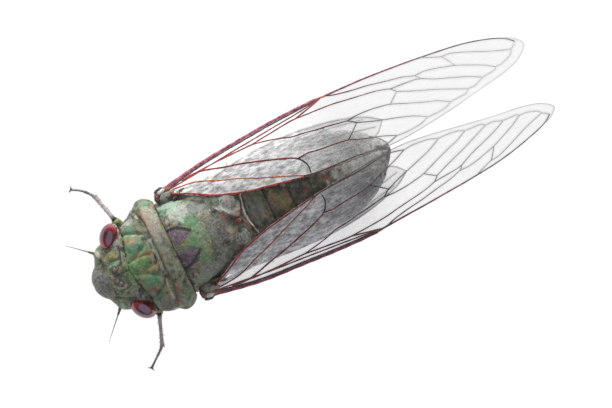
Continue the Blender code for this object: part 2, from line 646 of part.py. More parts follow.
def build_cicada():
    """Build every part of the insect."""
    for thing in list(bpy.data.objects):
        bpy.data.objects.remove(thing)
    body = bpy.data.collections.new("cicada")
    cutters = bpy.data.collections.new("cutters")
    bpy.context.scene.collection.children.link(body)
    bpy.context.scene.collection.children.link(cutters)
    finishes = {name: material(name) for name in COLOURS}
    head = build_head(finishes["shell"], body)
    pronotum = build_pronotum(finishes["shell"], body)
    build_thorax(finishes["shell"], body)
    build_abdomen(finishes["shell"], body)
    build_rostrum(finishes["leg"], body)
    for side, sign in (("left", 1), ("right", -1)):
        build_eye(side, sign, head, pronotum, finishes, body, cutters)
        build_feeler(side, sign, finishes["leg"], body)
        build_wing("forewing_" + side, sign, FORE_ROOT + FORE_FRONT + FORE_HIND, FORE_VEINS, 0.0,
                   finishes["wing"], body)
        build_wing("hindwing_" + side, sign, HIND_ROOT + HIND_FRONT + HIND_HIND, HIND_VEINS, HINDWING_DROP,
                   finishes["wing"], body)
        for name, sizes in LEGS.items():
            build_leg(f"{name}_leg_{side}", sign, sizes, finishes["leg"], body)


build_cicada()
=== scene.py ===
"""The looks of a resting cicada: its fine surface, markings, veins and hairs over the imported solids.

A place is given as (x, aft, z) in millimetres: x outwards from the middle of the body to the animal's
left, aft back from the front of the face, and z up from the floor.
"""

import logging
import math
from collections.abc import Callable, Sequence
from dataclasses import dataclass
from enum import Enum
from functools import cache

import bmesh
import bpy
import numpy as np
from bpy.types import ID, Material, Node, NodeSocket as Socket, NodeTree, Object
from mathutils import Matrix, Vector


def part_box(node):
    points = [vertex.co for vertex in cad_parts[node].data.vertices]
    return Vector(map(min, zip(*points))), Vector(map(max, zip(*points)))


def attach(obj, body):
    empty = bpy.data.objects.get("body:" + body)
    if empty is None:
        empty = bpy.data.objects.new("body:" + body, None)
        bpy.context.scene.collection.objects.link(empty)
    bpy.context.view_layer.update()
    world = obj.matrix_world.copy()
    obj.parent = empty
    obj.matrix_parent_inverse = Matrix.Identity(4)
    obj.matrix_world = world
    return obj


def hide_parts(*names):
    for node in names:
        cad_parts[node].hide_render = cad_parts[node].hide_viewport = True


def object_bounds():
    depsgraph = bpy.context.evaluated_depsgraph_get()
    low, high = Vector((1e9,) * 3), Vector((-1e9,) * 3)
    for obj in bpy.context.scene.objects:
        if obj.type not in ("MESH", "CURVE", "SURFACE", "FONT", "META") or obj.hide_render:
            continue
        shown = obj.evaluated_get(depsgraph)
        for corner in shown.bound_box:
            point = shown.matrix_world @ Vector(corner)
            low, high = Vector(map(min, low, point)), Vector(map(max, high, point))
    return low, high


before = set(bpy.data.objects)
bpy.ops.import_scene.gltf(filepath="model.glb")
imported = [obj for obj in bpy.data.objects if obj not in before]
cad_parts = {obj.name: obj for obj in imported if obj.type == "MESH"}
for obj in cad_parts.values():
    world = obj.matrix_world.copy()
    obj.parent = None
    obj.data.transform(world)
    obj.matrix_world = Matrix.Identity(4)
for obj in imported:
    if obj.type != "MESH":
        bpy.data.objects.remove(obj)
CAD_LOW, CAD_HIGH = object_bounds()

LOG = logging.getLogger("cicada")
MM = 0.001
FLOOR_Z = CAD_LOW.z
FACE_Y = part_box("head")[0].y - 0.03 * MM   # the head's solid starts this far behind aft 0
BELLY = 3.0                                # floor to belly; heights in body rows count from here
SEED = 11
SIDES = (("left", 1), ("right", -1))       # each side's name and the sign of its x
UP = np.array((0.0, 0.0, 1.0))

Points = np.ndarray
Path = Sequence[tuple[float, ...]]
Place = tuple[float, float, float]
Colour = tuple[float, float, float]
Paint = dict[str, Points]


class Slot(Enum):
    """The record's material slots."""

    SHELL = "shell"
    EYE = "eye"
    WING = "wing"
    LEG = "leg"


class Pigment(Enum):
    """The colours of the markings, each painted on the skin as a mask of its own."""

    GREEN = (0.05, 0.145, 0.03)
    TEAL = (0.032, 0.125, 0.07)
    OCHRE = (0.19, 0.115, 0.045)
    RUST = (0.2, 0.036, 0.01)
    PURPLE = (0.075, 0.038, 0.068)
    MAROON = (0.075, 0.004, 0.012)
    PALE = (0.5, 0.49, 0.46)
    WAX = (0.78, 0.78, 0.77)
    GREY = (0.11, 0.112, 0.108)
    BLACK = (0.008, 0.007, 0.007)

    @property
    def mask(self) -> str:
        """The name of its mask."""
        return self.name.lower()


def at(x: Points, aft: Points, z: Points) -> Points:
    """Turn places in millimetres into points of the frame in metres."""
    x, aft, z = np.broadcast_arrays(x, aft, z)
    return np.stack((x * MM, FACE_Y + aft * MM, FLOOR_Z + z * MM), -1)


def read_rows(rows: Path, aft: Points, column: int) -> Points:
    """Read one column of a table of rows at places between them, on a smooth curve.

    Args:
        rows: the table, its first column rising.
        aft: where to read.
        column: which column.

    Returns:
        The column's value at each place, held level past the table's ends.
    """
    table = np.array(rows, float)
    knots, values = table[:, 0], table[:, column]
    slopes = np.empty(len(knots))
    slopes[1:-1] = (values[2:] - values[:-2]) / (knots[2:] - knots[:-2])
    slopes[0] = (values[1] - values[0]) / (knots[1] - knots[0])
    slopes[-1] = (values[-1] - values[-2]) / (knots[-1] - knots[-2])
    place = np.clip(np.asarray(aft, float), knots[0], knots[-1])
    index = np.clip(np.searchsorted(knots, place) - 1, 0, len(knots) - 2)
    span = knots[index + 1] - knots[index]
    t = (place - knots[index]) / span
    return ((2 * t**3 - 3 * t**2 + 1) * values[index] + (t**3 - 2 * t**2 + t) * slopes[index] * span
            + (3 * t**2 - 2 * t**3) * values[index + 1] + (t**3 - t**2) * slopes[index + 1] * span)


def smooth_path(path: Path, step: float) -> Points:
    """Run a smooth line through a few points.

    Args:
        path: the points.
        step: about how far apart the returned points are.

    Returns:
        Points along the line, the first and last as given.
    """
    knots = np.array(path, float)
    knots = np.vstack((2 * knots[0] - knots[1], knots, 2 * knots[-1] - knots[-2]))
    line = [knots[1]]
    for before, start, end, after in zip(knots, knots[1:], knots[2:], knots[3:]):
        pieces = max(1, round(float(np.linalg.norm(end - start)) / step))
        for piece in range(1, pieces + 1):
            t = piece / pieces
            line.append((2 * start + (end - before) * t + (2 * before - 5 * start + 4 * end - after) * t**2
                         + (3 * start - before - 3 * end + after) * t**3) / 2)
    return np.array(line)


def distance_to(path: Points, x: Points, aft: Points) -> Points:
    """Measure how far flat places lie from a line.

    Args:
        path: the line's points.
        x: how far out the places are.
        aft: how far back they are.

    Returns:
        Each place's distance, in millimetres.
    """
    best = np.full(np.shape(x), 1e9)
    for start, end in zip(path[:-1], path[1:]):
        run = end - start
        length = max(float(run @ run), 1e-9)
        share = np.clip(((x - start[0]) * run[0] + (aft - start[1]) * run[1]) / length, 0, 1)
        best = np.minimum(best, np.hypot(x - start[0] - share * run[0], aft - start[1] - share * run[1]))
    return best


def ease(value: Points) -> Points:
    """Turn 0 to 1 into a smooth step from 0 to 1."""
    value = np.clip(value, 0.0, 1.0)
    return value * value * (3 - 2 * value)


def step(ends: tuple[float, float], value: Points) -> Points:
    """Rise smoothly from 0 at the first end to 1 at the second, which may be the lower one."""
    return ease((value - ends[0]) / (ends[1] - ends[0]))


def unit(vectors: Points) -> Points:
    """Bring vectors to a length of one."""
    return vectors / np.linalg.norm(vectors, axis=-1, keepdims=True)


def turned(degrees: float) -> Matrix:
    """A turn about the upright, anticlockwise from above."""
    return Matrix.Rotation(math.radians(degrees), 3, "Z")


def ball(rows: int) -> Points:
    """Unit directions over a ball: rings from pole to pole, each with twice as many sides as rows."""
    polar, around = np.meshgrid(np.linspace(0.02, math.pi - 0.02, rows),
                                np.arange(rows * 2) * math.pi / rows, indexing="ij")
    return np.stack((np.sin(polar) * np.cos(around), np.sin(polar) * np.sin(around), np.cos(polar)), -1)


class Grit:
    """Smooth seeded noise over space, about -1 to 1."""

    cells = 32

    def __init__(self, seed: int) -> None:
        """Draw the lattice of random values."""
        self.lattice = np.random.default_rng(seed).random((self.cells,) * 3) * 2 - 1

    def __call__(self, points: Points, scale: float) -> Points:
        """Read the noise.

        Args:
            points: where, in millimetres.
            scale: how many cells there are to the millimetre.

        Returns:
            The noise at each point.
        """
        place = points * scale
        cell = np.floor(place).astype(int)
        t = ease(place - cell)
        total = np.zeros(place.shape[:-1])
        for corner in range(8):
            pick = [(corner >> axis) & 1 for axis in range(3)]
            weight = np.prod([t[..., axis] if pick[axis] else 1 - t[..., axis] for axis in range(3)], axis=0)
            home = tuple((cell[..., axis] + pick[axis]) % self.cells for axis in range(3))
            total += weight * self.lattice[home]
        return total


GRIT = Grit(SEED)


def edge_noise(grid: Points) -> Points:
    """The noise that breaks up the edges of markings, at places in millimetres."""
    return GRIT(grid, 2.1) + 0.7 * GRIT(grid + 5.0, 5.3)


@dataclass(frozen=True)
class Crease:
    """A groove, or a ridge where its height is above zero, on both sides along (x, aft) points."""

    path: Path
    width: float
    height: float

    def lift(self, x: Points, aft: Points) -> Points:
        """How far it moves the skin outwards at flat places, in millimetres."""
        away = distance_to(smooth_path(self.path, 0.3), np.abs(x), aft)
        return self.height * np.exp(-(away / self.width) ** 2)


@dataclass(frozen=True)
class Spot:
    """An oval on the back, turned anticlockwise by some degrees as seen from above with the head up."""

    x: float
    aft: float
    half_x: float
    half_aft: float
    turn: float = 0.0

    def reach(self, x: Points, aft: Points) -> Points:
        """Measure from the oval's middle.

        Args:
            x: how far out the places are.
            aft: how far back they are.

        Returns:
            Each place's distance, 1 at the oval's edge.
        """
        angle = math.radians(self.turn)
        right, back = x - self.x, aft - self.aft
        along = right * math.cos(angle) - back * math.sin(angle)
        up = right * math.sin(angle) + back * math.cos(angle)
        return np.hypot(along / self.half_x, up / self.half_aft)


@dataclass(frozen=True)
class Swelling:
    """A rounded bump, or a hollow where its height is below zero, on both sides where mirrored."""

    spot: Spot
    height: float
    mirrored: bool = True

    def lift(self, x: Points, aft: Points) -> Points:
        """How far it moves the skin outwards at flat places, in millimetres."""
        across = np.abs(x) if self.mirrored else x
        return self.height * ease(1.15 - self.spot.reach(across, aft))


@dataclass(frozen=True)
class Marking:
    """A patch or a line of one pigment. A patch is a Spot, and a line is a path with a width."""

    pigment: Pigment
    mirrored: bool
    shape: Spot | Path
    strength: float
    ragged: float
    width: float = 0.0

    def mask(self, x: Points, aft: Points, noise: Points) -> Points:
        """Paint the marking.

        Args:
            x: how far out the places are.
            aft: how far back they are.
            noise: what breaks up its edge.

        Returns:
            The pigment's strength at each place, 0 to 1.
        """
        across = np.abs(x) if self.mirrored else x
        if isinstance(self.shape, Spot):
            inside = (1 - self.shape.reach(across, aft)) * 1.8 + self.ragged * noise + 0.25
        else:
            away = distance_to(smooth_path(self.shape, 0.3), across, aft)
            inside = 1.5 - away / self.width + self.ragged * noise
        return self.strength * ease(inside)


def spots(pigment: Pigment, *rows: tuple, mirrored: bool = False) -> list[Marking]:
    """Patches of one pigment, each row its strength, its raggedness and then what a Spot takes."""
    return [Marking(pigment, mirrored, Spot(*oval), strength, ragged) for strength, ragged, *oval in rows]


def lines(pigment: Pigment, *rows: tuple, mirrored: bool = False) -> list[Marking]:
    """Lines of one pigment, each row its strength, raggedness and width and then its path's points."""
    return [Marking(pigment, mirrored, path, strength, ragged, width)
            for strength, ragged, width, *path in rows]


def bare_masks(size: tuple[int, ...]) -> Paint:
    """A blank mask for each pigment."""
    return {pigment.mask: np.zeros(size) for pigment in Pigment}


class Shape:
    """The points, faces and painted values of one piece, gathered part by part, in metres."""

    def __init__(self) -> None:
        """Start empty."""
        self.points: list[Points] = []
        self.faces: list[tuple[int, ...]] = []
        self.values: dict[str, list[Points]] = {}
        self.count = 0

    def add(self, points: Points, faces: list[tuple[int, ...]], values: Paint | None = None) -> None:
        """Add points and the faces among them.

        Args:
            points: the new points, one row each.
            faces: corner numbers within the new points.
            values: painted values, one for each new point, by the name of their mask.
        """
        points = points.reshape(-1, 3)
        self.faces += [tuple(corner + self.count for corner in face) for face in faces]
        self.points.append(points)
        values = values or {}
        for name in self.values | values:
            rows = self.values.setdefault(name, [np.zeros(self.count)])
            rows.append(np.broadcast_to(values.get(name, 0.0), len(points)))
        self.count += len(points)

    def rings(self, rings: Points, values: Paint | None = None) -> None:
        """Add a skin through rings of points, closed at both ends.

        Args:
            rings: the points, as (ring, side, 3).
            values: painted values for each ring and side.
        """
        rows, sides = rings.shape[:2]
        first = np.arange(rows - 1)[:, None] * sides
        near = np.arange(sides)
        far = (near + 1) % sides
        quads = np.stack((first + near, first + far, first + far + sides, first + near + sides), -1)
        faces = [tuple(quad) for quad in quads.reshape(-1, 4).tolist()]
        faces.append(tuple(range(sides))[::-1])
        faces.append(tuple((rows - 1) * sides + side for side in range(sides)))
        flat = {name: np.broadcast_to(value, (rows, sides)).ravel() for name, value in (values or {}).items()}
        self.add(rings, faces, flat)

    def tube(self, path: Points, radii: Points, sides: int = 10, flat: float = 1.0,
             values: Paint | None = None) -> None:
        """Add a round limb along a path.

        Args:
            path: the middle line, in metres.
            radii: the radius at each of its points, in millimetres.
            sides: how many sides the tube has.
            flat: its height over its width.
            values: painted values, one for each point of the path.
        """
        radii = np.broadcast_to(np.asarray(radii, float), len(path)) * MM
        run = unit(np.gradient(path, axis=0))
        level = np.cross(run, UP)
        steep = np.linalg.norm(level, axis=1) < 0.15
        level[steep] = np.cross(run[steep], (0.0, 1.0, 0.0))
        level = unit(level)
        upright = np.cross(level, run)
        angle = (np.arange(sides) * 2 * math.pi / sides)[None, :, None]
        ring = np.cos(angle) * level[:, None] + flat * np.sin(angle) * upright[:, None]
        wide = {name: np.asarray(value)[:, None] for name, value in (values or {}).items()}
        self.rings(path[:, None] + ring * radii[:, None, None], wide)

    def egg(self, centre: Points, halves: Sequence[float], turn: Matrix | None = None, rows: int = 24,
            values: Paint | None = None, dent: Callable[[Points], Points] | None = None) -> None:
        """Add an egg shape.

        Args:
            centre: its middle, in metres.
            halves: its three half sizes, in millimetres.
            turn: how it is turned.
            rows: how many rings it has.
            values: painted values, one for the whole egg or one for each ring and side.
            dent: gives how far to move the skin outwards, from unit directions.
        """
        ways = ball(rows)
        lift = dent(ways)[..., None] if dent else 0.0
        body = ways * np.array(halves) * MM + ways * lift * MM
        if turn is not None:
            body = body @ np.array(turn).T
        self.rings(body + centre, values)

    def build(self, name: str, finish: "Finish", slot: Slot, *nodes: str) -> Object:
        """Write the gathered shape to a piece that rides on the body, and report it.

        Args:
            name: the piece's name.
            finish: its finish.
            slot: its material slot; not used.
            nodes: the solids that it stands for.

        Returns:
            The piece, in the frame.
        """
        mesh = bpy.data.meshes.new(name)
        mesh.from_pydata(np.vstack(self.points).tolist(), [], self.faces)
        builder = bmesh.new()
        builder.from_mesh(mesh)
        bmesh.ops.recalc_face_normals(builder, faces=builder.faces)
        builder.to_mesh(mesh)
        builder.free()
        for mask, rows in self.values.items():
            mesh.attributes.new(mask, "FLOAT", "POINT").data.foreach_set("value", np.concatenate(rows))
        mesh.shade_smooth()
        mesh.materials.append(finish.material())
        piece = put(name, mesh)
        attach(piece, "root")
        if nodes:
            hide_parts(*nodes)
        faces = len(mesh.polygons)
        LOG.info("%s: %d faces, stands for %s", name, faces, ", ".join(nodes) or "nothing")
        return piece


def put(name: str, data: ID) -> Object:
    """Put an object into the scene.

    Args:
        name: its name.
        data: its mesh, light or camera.

    Returns:
        The object.
    """
    thing = bpy.data.objects.new(name, data)
    bpy.context.scene.collection.objects.link(thing)
    return thing


# Shading


class Graph:
    """Adds nodes to one node tree and links what feeds them."""

    def __init__(self, tree: NodeTree) -> None:
        """Work on a tree."""
        self.tree = tree

    def feed(self, node: Node, links: dict) -> None:
        """Feed named or numbered inputs of a node.

        Args:
            node: the node.
            links: a socket or a plain value for each input.
        """
        for name, value in links.items():
            if isinstance(value, Socket):
                self.tree.links.new(value, node.inputs[name])
            else:
                node.inputs[name].default_value = value

    def add(self, kind: str, links: dict | None = None, **settings: object) -> Node:
        """Add a node.

        Args:
            kind: the node's type, without its leading word.
            links: a socket or a plain value for each named or numbered input.
            settings: the node's own settings.

        Returns:
            The node.
        """
        node = self.tree.nodes.new(kind if "Node" in kind else "ShaderNode" + kind)
        node.location = (200 * (len(self.tree.nodes) % 8), -180 * (len(self.tree.nodes) // 8))
        for name, value in settings.items():
            setattr(node, name, value)
        self.feed(node, links or {})
        return node

    def math(self, operation: str, first: object, second: object = 0.0, third: object = 0.0) -> Socket:
        """Work out a number, held between 0 and 1."""
        node = self.add("Math", {0: first, 1: second, 2: third}, operation=operation, use_clamp=True)
        return node.outputs[0]

    def times(self, first: object, second: object) -> Socket:
        """Multiply two numbers, and let the product pass 1."""
        return self.add("Math", {0: first, 1: second}, operation="MULTIPLY").outputs[0]

    def mix(self, share: object, first: object, second: object) -> Socket:
        """Mix two colours."""
        ends = [value if isinstance(value, Socket) else (*value, 1.0) for value in (first, second)]
        return self.add("Mix", {0: share, 6: ends[0], 7: ends[1]}, data_type="RGBA").outputs[2]

    def range(self, value: object, low: float, high: float, to_low: object = 0.0,
              to_high: object = 1.0) -> Socket:
        """Stretch a value from one range to another."""
        links = {"Value": value, "From Min": low, "From Max": high, "To Min": to_low, "To Max": to_high}
        return self.add("MapRange", links).outputs[0]

    def mask(self, name: str) -> Socket:
        """Read a painted value."""
        return self.add("Attribute", attribute_name=name).outputs["Fac"]

    def place(self) -> Socket:
        """The place on the piece, in metres."""
        return self.add("TexCoord").outputs["Object"]

    def noise(self, scale: object, detail: float = 3.0, rough: float = 0.6, along: float = 1.0) -> Socket:
        """Soft noise at a scale to the metre, drawn out along the body where along is below 1."""
        place = self.add("Mapping", {"Vector": self.place(), "Scale": (1.0, along, 1.0)}).outputs[0]
        return self.add("TexNoise", {"Vector": place, "Scale": scale, "Detail": detail,
                                     "Roughness": rough}).outputs[0]

    def group(self, tree: NodeTree, **inputs: float) -> Node:
        """Place a shared effect with its values."""
        return self.add("Group", inputs, node_tree=tree)

    def surface(self, links: dict) -> None:
        """Feed named inputs of the material's shader."""
        self.feed(self.tree.nodes["Principled BSDF"], links)

    def bump(self, height: Socket, strength: float, depth: float) -> None:
        """Raise the surface by a height, at most depth millimetres."""
        bump = self.add("Bump", {"Strength": strength, "Distance": depth * MM, "Height": height})
        self.surface({"Normal": bump.outputs[0]})


def start_group(name: str, inputs: dict[str, float], outputs: Sequence[str]) -> tuple[Graph, Node, Node]:
    """Open a new node group with its named sockets.

    Args:
        name: the group's name.
        inputs: each input's name and usual value.
        outputs: the outputs' names.

    Returns:
        The group's graph, and its input and output nodes.
    """
    tree = bpy.data.node_groups.new(name, "ShaderNodeTree")
    for socket, value in inputs.items():
        made = tree.interface.new_socket(socket, in_out="INPUT", socket_type="NodeSocketFloat")
        made.default_value = value
    for socket in outputs:
        tree.interface.new_socket(socket, in_out="OUTPUT", socket_type="NodeSocketFloat")
    graph = Graph(tree)
    return graph, graph.add("NodeGroupInput"), graph.add("NodeGroupOutput")


@cache
def mottle() -> NodeTree:
    """Cloudy patches, and finer flecks among them.

    Returns:
        The group.
    """
    graph, given, result = start_group("mottle", {"Scale": 900.0, "Contrast": 0.5}, ("Patches", "Flecks"))
    coarse = graph.noise(given.outputs["Scale"], 4.0, 0.65)
    fine = graph.noise(graph.times(given.outputs["Scale"], 4.3))
    half = graph.math("MULTIPLY", given.outputs["Contrast"], 0.5)
    low = graph.math("SUBTRACT", 0.5, graph.math("MULTIPLY", half, 0.5))
    high = graph.math("ADD", 0.5, graph.math("MULTIPLY", half, 0.5))
    graph.feed(result, {"Patches": graph.range(coarse, low, high), "Flecks": graph.range(fine, low, high)})
    return graph.tree


@cache
def granules() -> NodeTree:
    """Low rounded grains set close, with fine wrinkles between.

    Returns:
        The group.
    """
    graph, given, result = start_group("granules", {"Scale": 6000.0, "Wrinkles": 0.4}, ("Height",))
    cells = graph.add("TexVoronoi", {"Vector": graph.place(), "Scale": given.outputs["Scale"]})
    grain = graph.math("SUBTRACT", 0.8, cells.outputs["Distance"])
    wrinkle = graph.noise(graph.times(given.outputs["Scale"], 0.35))
    share = graph.math("MULTIPLY", wrinkle, given.outputs["Wrinkles"])
    graph.feed(result, {"Height": graph.math("ADD", graph.math("MULTIPLY", grain, 0.6), share)})
    return graph.tree


@cache
def bloom() -> NodeTree:
    """The pale wax that lies thicker in the hollows.

    Returns:
        The group.
    """
    graph, given, result = start_group("bloom", {"Amount": 0.3, "Scale": 2500.0}, ("Dust",))
    cloud = graph.range(graph.noise(given.outputs["Scale"], 5.0, 0.7), 0.38, 0.68)
    hollow = graph.math("MULTIPLY_ADD", graph.mask("hollow"), 1.6, 0.5)
    dust = graph.math("MULTIPLY", graph.math("MULTIPLY", cloud, hollow), given.outputs["Amount"])
    graph.feed(result, {"Dust": dust})
    return graph.tree


class Finish:
    """The base of each finish: builds its material once."""

    name = "finish"

    @cache
    def material(self) -> Material:
        """Build the finish's material, once.

        Returns:
            The material.
        """
        material = bpy.data.materials.new(self.name)
        material.use_nodes = True
        self.wire(Graph(material.node_tree))
        return material

    def wire(self, graph: Graph) -> None:
        """Feed the material's shader; each finish has its own way."""
        raise NotImplementedError


@dataclass(frozen=True)
class CuticleFinish(Finish):
    """The grained, mottled skin with its painted markings and a pale bloom.

    A row of tints has its noise's low and high end and its colour, and a row of speckles has its scale,
    its noise's low and high end, its strength and its colour.
    """

    name: str
    dark: Colour = (0.018, 0.021, 0.014)
    light: Colour = (0.115, 0.13, 0.078)
    mottle_scale: float = 1900.0
    contrast: float = 0.45
    grain_scale: float = 7000.0
    grain_depth: float = 0.05
    bloom: float = 0.2
    bloom_colour: Colour = (0.33, 0.33, 0.31)
    roughness: float = 0.5
    coat: float = 0.05
    tints: float = 0.5
    tint_rows: tuple[tuple, ...] = ((0.52, 0.64, (0.075, 0.135, 0.05)), (0.48, 0.36, (0.17, 0.115, 0.06)))
    speckles: tuple[tuple, ...] = (
        (3800, 0.55, 0.62, 0.5, (0.012, 0.012, 0.011)),
        (3100, 0.6, 0.67, 0.35, (0.33, 0.32, 0.29)),
        (9000, 0.6, 0.68, 0.4, (0.015, 0.015, 0.014)))

    def wire(self, graph: Graph) -> None:
        """Feed the shader with the mottled ground, its tints and markings, then flecks and bloom.

        Args:
            graph: the material's.
        """
        clouds = graph.group(mottle(), Scale=self.mottle_scale, Contrast=self.contrast)
        ground = graph.mix(clouds.outputs["Patches"], self.dark, self.light)
        drift = graph.noise(750.0, 3.0)
        for low, high, colour in self.tint_rows:
            share = graph.math("MULTIPLY", graph.range(drift, low, high), self.tints)
            ground = graph.mix(share, ground, colour)
        uneven = graph.math("MULTIPLY_ADD", clouds.outputs["Flecks"], 0.5, 0.6)
        for pigment in Pigment:
            cover = 1.0 if pigment is Pigment.BLACK else uneven
            share = graph.math("MULTIPLY", graph.mask(pigment.mask), cover)
            ground = graph.mix(share, ground, pigment.value)
        for scale, low, high, share, colour in self.speckles:
            flecks = graph.range(graph.noise(scale, 2.0, 0.7), low, high)
            ground = graph.mix(graph.math("MULTIPLY", flecks, share), ground, colour)
        dust = graph.group(bloom(), Amount=self.bloom)
        ends = (self.roughness - 0.1, self.roughness + 0.12)
        graph.surface({
            "Base Color": graph.mix(dust.outputs["Dust"], ground, self.bloom_colour),
            "Roughness": graph.range(clouds.outputs["Flecks"], 0.0, 1.0, *ends),
            "Specular IOR Level": 0.35, "Coat Weight": self.coat, "Coat Roughness": 0.3})
        grain = graph.group(granules(), Scale=self.grain_scale)
        graph.bump(grain.outputs["Height"], 0.8, self.grain_depth)


@dataclass(frozen=True)
class EyeFinish(Finish):
    """The deep red glossy eye, brighter round its rim, with fine facets."""

    name: str = "eye"

    def wire(self, graph: Graph) -> None:
        """Feed the shader.

        Args:
            graph: the material's.
        """
        cloud = graph.range(graph.noise(900.0, 3.0), 0.35, 0.7)
        deep = graph.mix(cloud, (0.01, 0.0008, 0.002), (0.035, 0.002, 0.004))
        graph.surface({
            "Base Color": graph.mix(graph.mask("rim"), deep, (0.23, 0.01, 0.004)), "Roughness": 0.2,
            "IOR": 2.0, "Specular IOR Level": 0.62, "Specular Tint": (0.92, 0.78, 1.0, 1.0)})
        facets = graph.add("TexVoronoi", {"Vector": graph.place(), "Scale": 22000.0})
        graph.bump(facets.outputs["Distance"], 0.12, 0.01)


@dataclass(frozen=True)
class BeadFinish(Finish):
    """A simple eye: a glassy bead over pink pigment."""

    name: str = "bead"
    dark: Colour = (0.05, 0.015, 0.02)
    pink: Colour = (0.2, 0.09, 0.1)

    def wire(self, graph: Graph) -> None:
        """Feed the shader."""
        graph.surface({"Base Color": graph.mix(graph.noise(4000.0, 2.0), self.dark, self.pink),
                       "Roughness": 0.08, "Coat Weight": 1.0, "Coat Roughness": 0.03})


@dataclass(frozen=True)
class MembraneFinish(Finish):
    """The clear wing skin with fine cross wrinkles, and a streaky veil where the milk mask is painted."""

    name: str = "membrane"
    clear: float = 0.03
    hazy: float = 0.1
    milk: float = 0.42
    milk_colour: Colour = (0.74, 0.74, 0.74)

    def wire(self, graph: Graph) -> None:
        """Feed the shader.

        Args:
            graph: the material's.
        """
        cloud = graph.noise(500.0, 4.0)
        links = {"Scale": 700.0, "Distortion": 14.0, "Detail": 3.0, "Detail Scale": 0.8}
        links["Vector"] = graph.place()
        folds = graph.add("TexWave", links, bands_direction="X").outputs["Fac"]
        haze = graph.math("MULTIPLY", cloud, 0.9)
        haze = graph.math("MULTIPLY_ADD", graph.range(folds, 0.3, 1.0), 0.2, haze)
        alpha = graph.range(haze, 0.0, 1.0, self.clear, self.hazy)
        alpha = graph.math("ADD", alpha, graph.math("MULTIPLY", graph.mask("edge"), 0.12))
        streaks = graph.range(graph.noise(2300.0, 5.0, 0.7, 0.4), 0.38, 0.62, 0.38, 1.0)
        milk = graph.math("MULTIPLY", graph.mask("milk"), streaks)
        colour = graph.mix(cloud, (0.04, 0.04, 0.04), (0.08, 0.08, 0.08))
        graph.surface({
            "Alpha": graph.math("ADD", alpha, graph.math("MULTIPLY", milk, self.milk)),
            "Base Color": graph.mix(milk, colour, self.milk_colour),
            "Roughness": graph.range(cloud, 0.3, 0.7, 0.25, 0.45), "Specular IOR Level": 0.25})
        graph.bump(folds, 0.3, 0.02)


@dataclass(frozen=True)
class VeinFinish(Finish):
    """The veins: grey, and paler where faint is painted, with red, amber and rose by their masks.

    Each colour has a dark and a light end.
    """

    name: str = "vein"
    grey: tuple[Colour, Colour] = ((0.008, 0.007, 0.008), (0.035, 0.03, 0.032))
    faint: Colour = (0.23, 0.23, 0.235)
    tones: tuple[tuple[str, Colour, Colour], ...] = (
        ("red", (0.08, 0.005, 0.006), (0.3, 0.036, 0.026)),
        ("amber", (0.2, 0.045, 0.014), (0.36, 0.12, 0.045)),
        ("rose", (0.07, 0.009, 0.02), (0.27, 0.08, 0.12)))

    def wire(self, graph: Graph) -> None:
        """Feed the shader.

        Args:
            graph: the material's.
        """
        flecks = graph.range(graph.noise(2600.0, 3.0), 0.35, 0.65)
        colour = graph.mix(graph.mask("faint"), graph.mix(flecks, *self.grey), self.faint)
        for mask, dark, light in self.tones:
            colour = graph.mix(graph.mask(mask), colour, graph.mix(flecks, dark, light))
        graph.surface({"Base Color": colour, "Roughness": graph.range(flecks, 0.0, 1.0, 0.28, 0.42),
                       "Specular IOR Level": 0.3})
        graph.bump(graph.noise(9000.0, 2.0), 0.4, 0.02)


@dataclass(frozen=True)
class LimbFinish(Finish):
    """Satin leg and feeler cuticle, mottled and with painted bands."""

    name: str
    dark: Colour = (0.06, 0.042, 0.036)
    light: Colour = (0.34, 0.29, 0.265)

    def wire(self, graph: Graph) -> None:
        """Feed the shader.

        Args:
            graph: the material's.
        """
        clouds = graph.group(mottle(), Scale=1600.0, Contrast=0.7)
        colour = graph.mix(clouds.outputs["Patches"], self.dark, self.light)
        for pigment in (Pigment.GREEN, Pigment.OCHRE, Pigment.BLACK):
            colour = graph.mix(graph.mask(pigment.mask), colour, pigment.value)
        rough = graph.range(clouds.outputs["Flecks"], 0, 1, 0.3, 0.5)
        graph.surface({"Base Color": colour, "Roughness": rough})
        grain = graph.group(granules(), Scale=9000.0)
        graph.bump(grain.outputs["Height"], 0.5, 0.03)


@dataclass(frozen=True)
class HairFinish(Finish):
    """Fine pale hairs."""

    name: str = "hair"

    def wire(self, graph: Graph) -> None:
        """Feed the shader."""
        shade = graph.range(graph.noise(3000.0, 2.0), 0.35, 0.65)
        graph.surface({"Base Color": graph.mix(shade, (0.09, 0.08, 0.07), (0.3, 0.29, 0.27)),
                       "Roughness": 0.45})


@dataclass(frozen=True)
class FloorFinish(Finish):
    """Plain white that is lit from within, so that no shadow shows on it."""

    name: str = "floor"

    def wire(self, graph: Graph) -> None:
        """Feed the shader."""
        graph.surface({
            "Base Color": (0.03, 0.03, 0.03, 1.0), "Roughness": 0.9, "Specular IOR Level": 0.0,
            "Emission Color": (1.0, 1.0, 1.0, 1.0), "Emission Strength": 0.985})


# Body


END_SCALES = (0.15, 0.5, 0.8, 0.93)   # how much smaller the rings are that close a part's ends


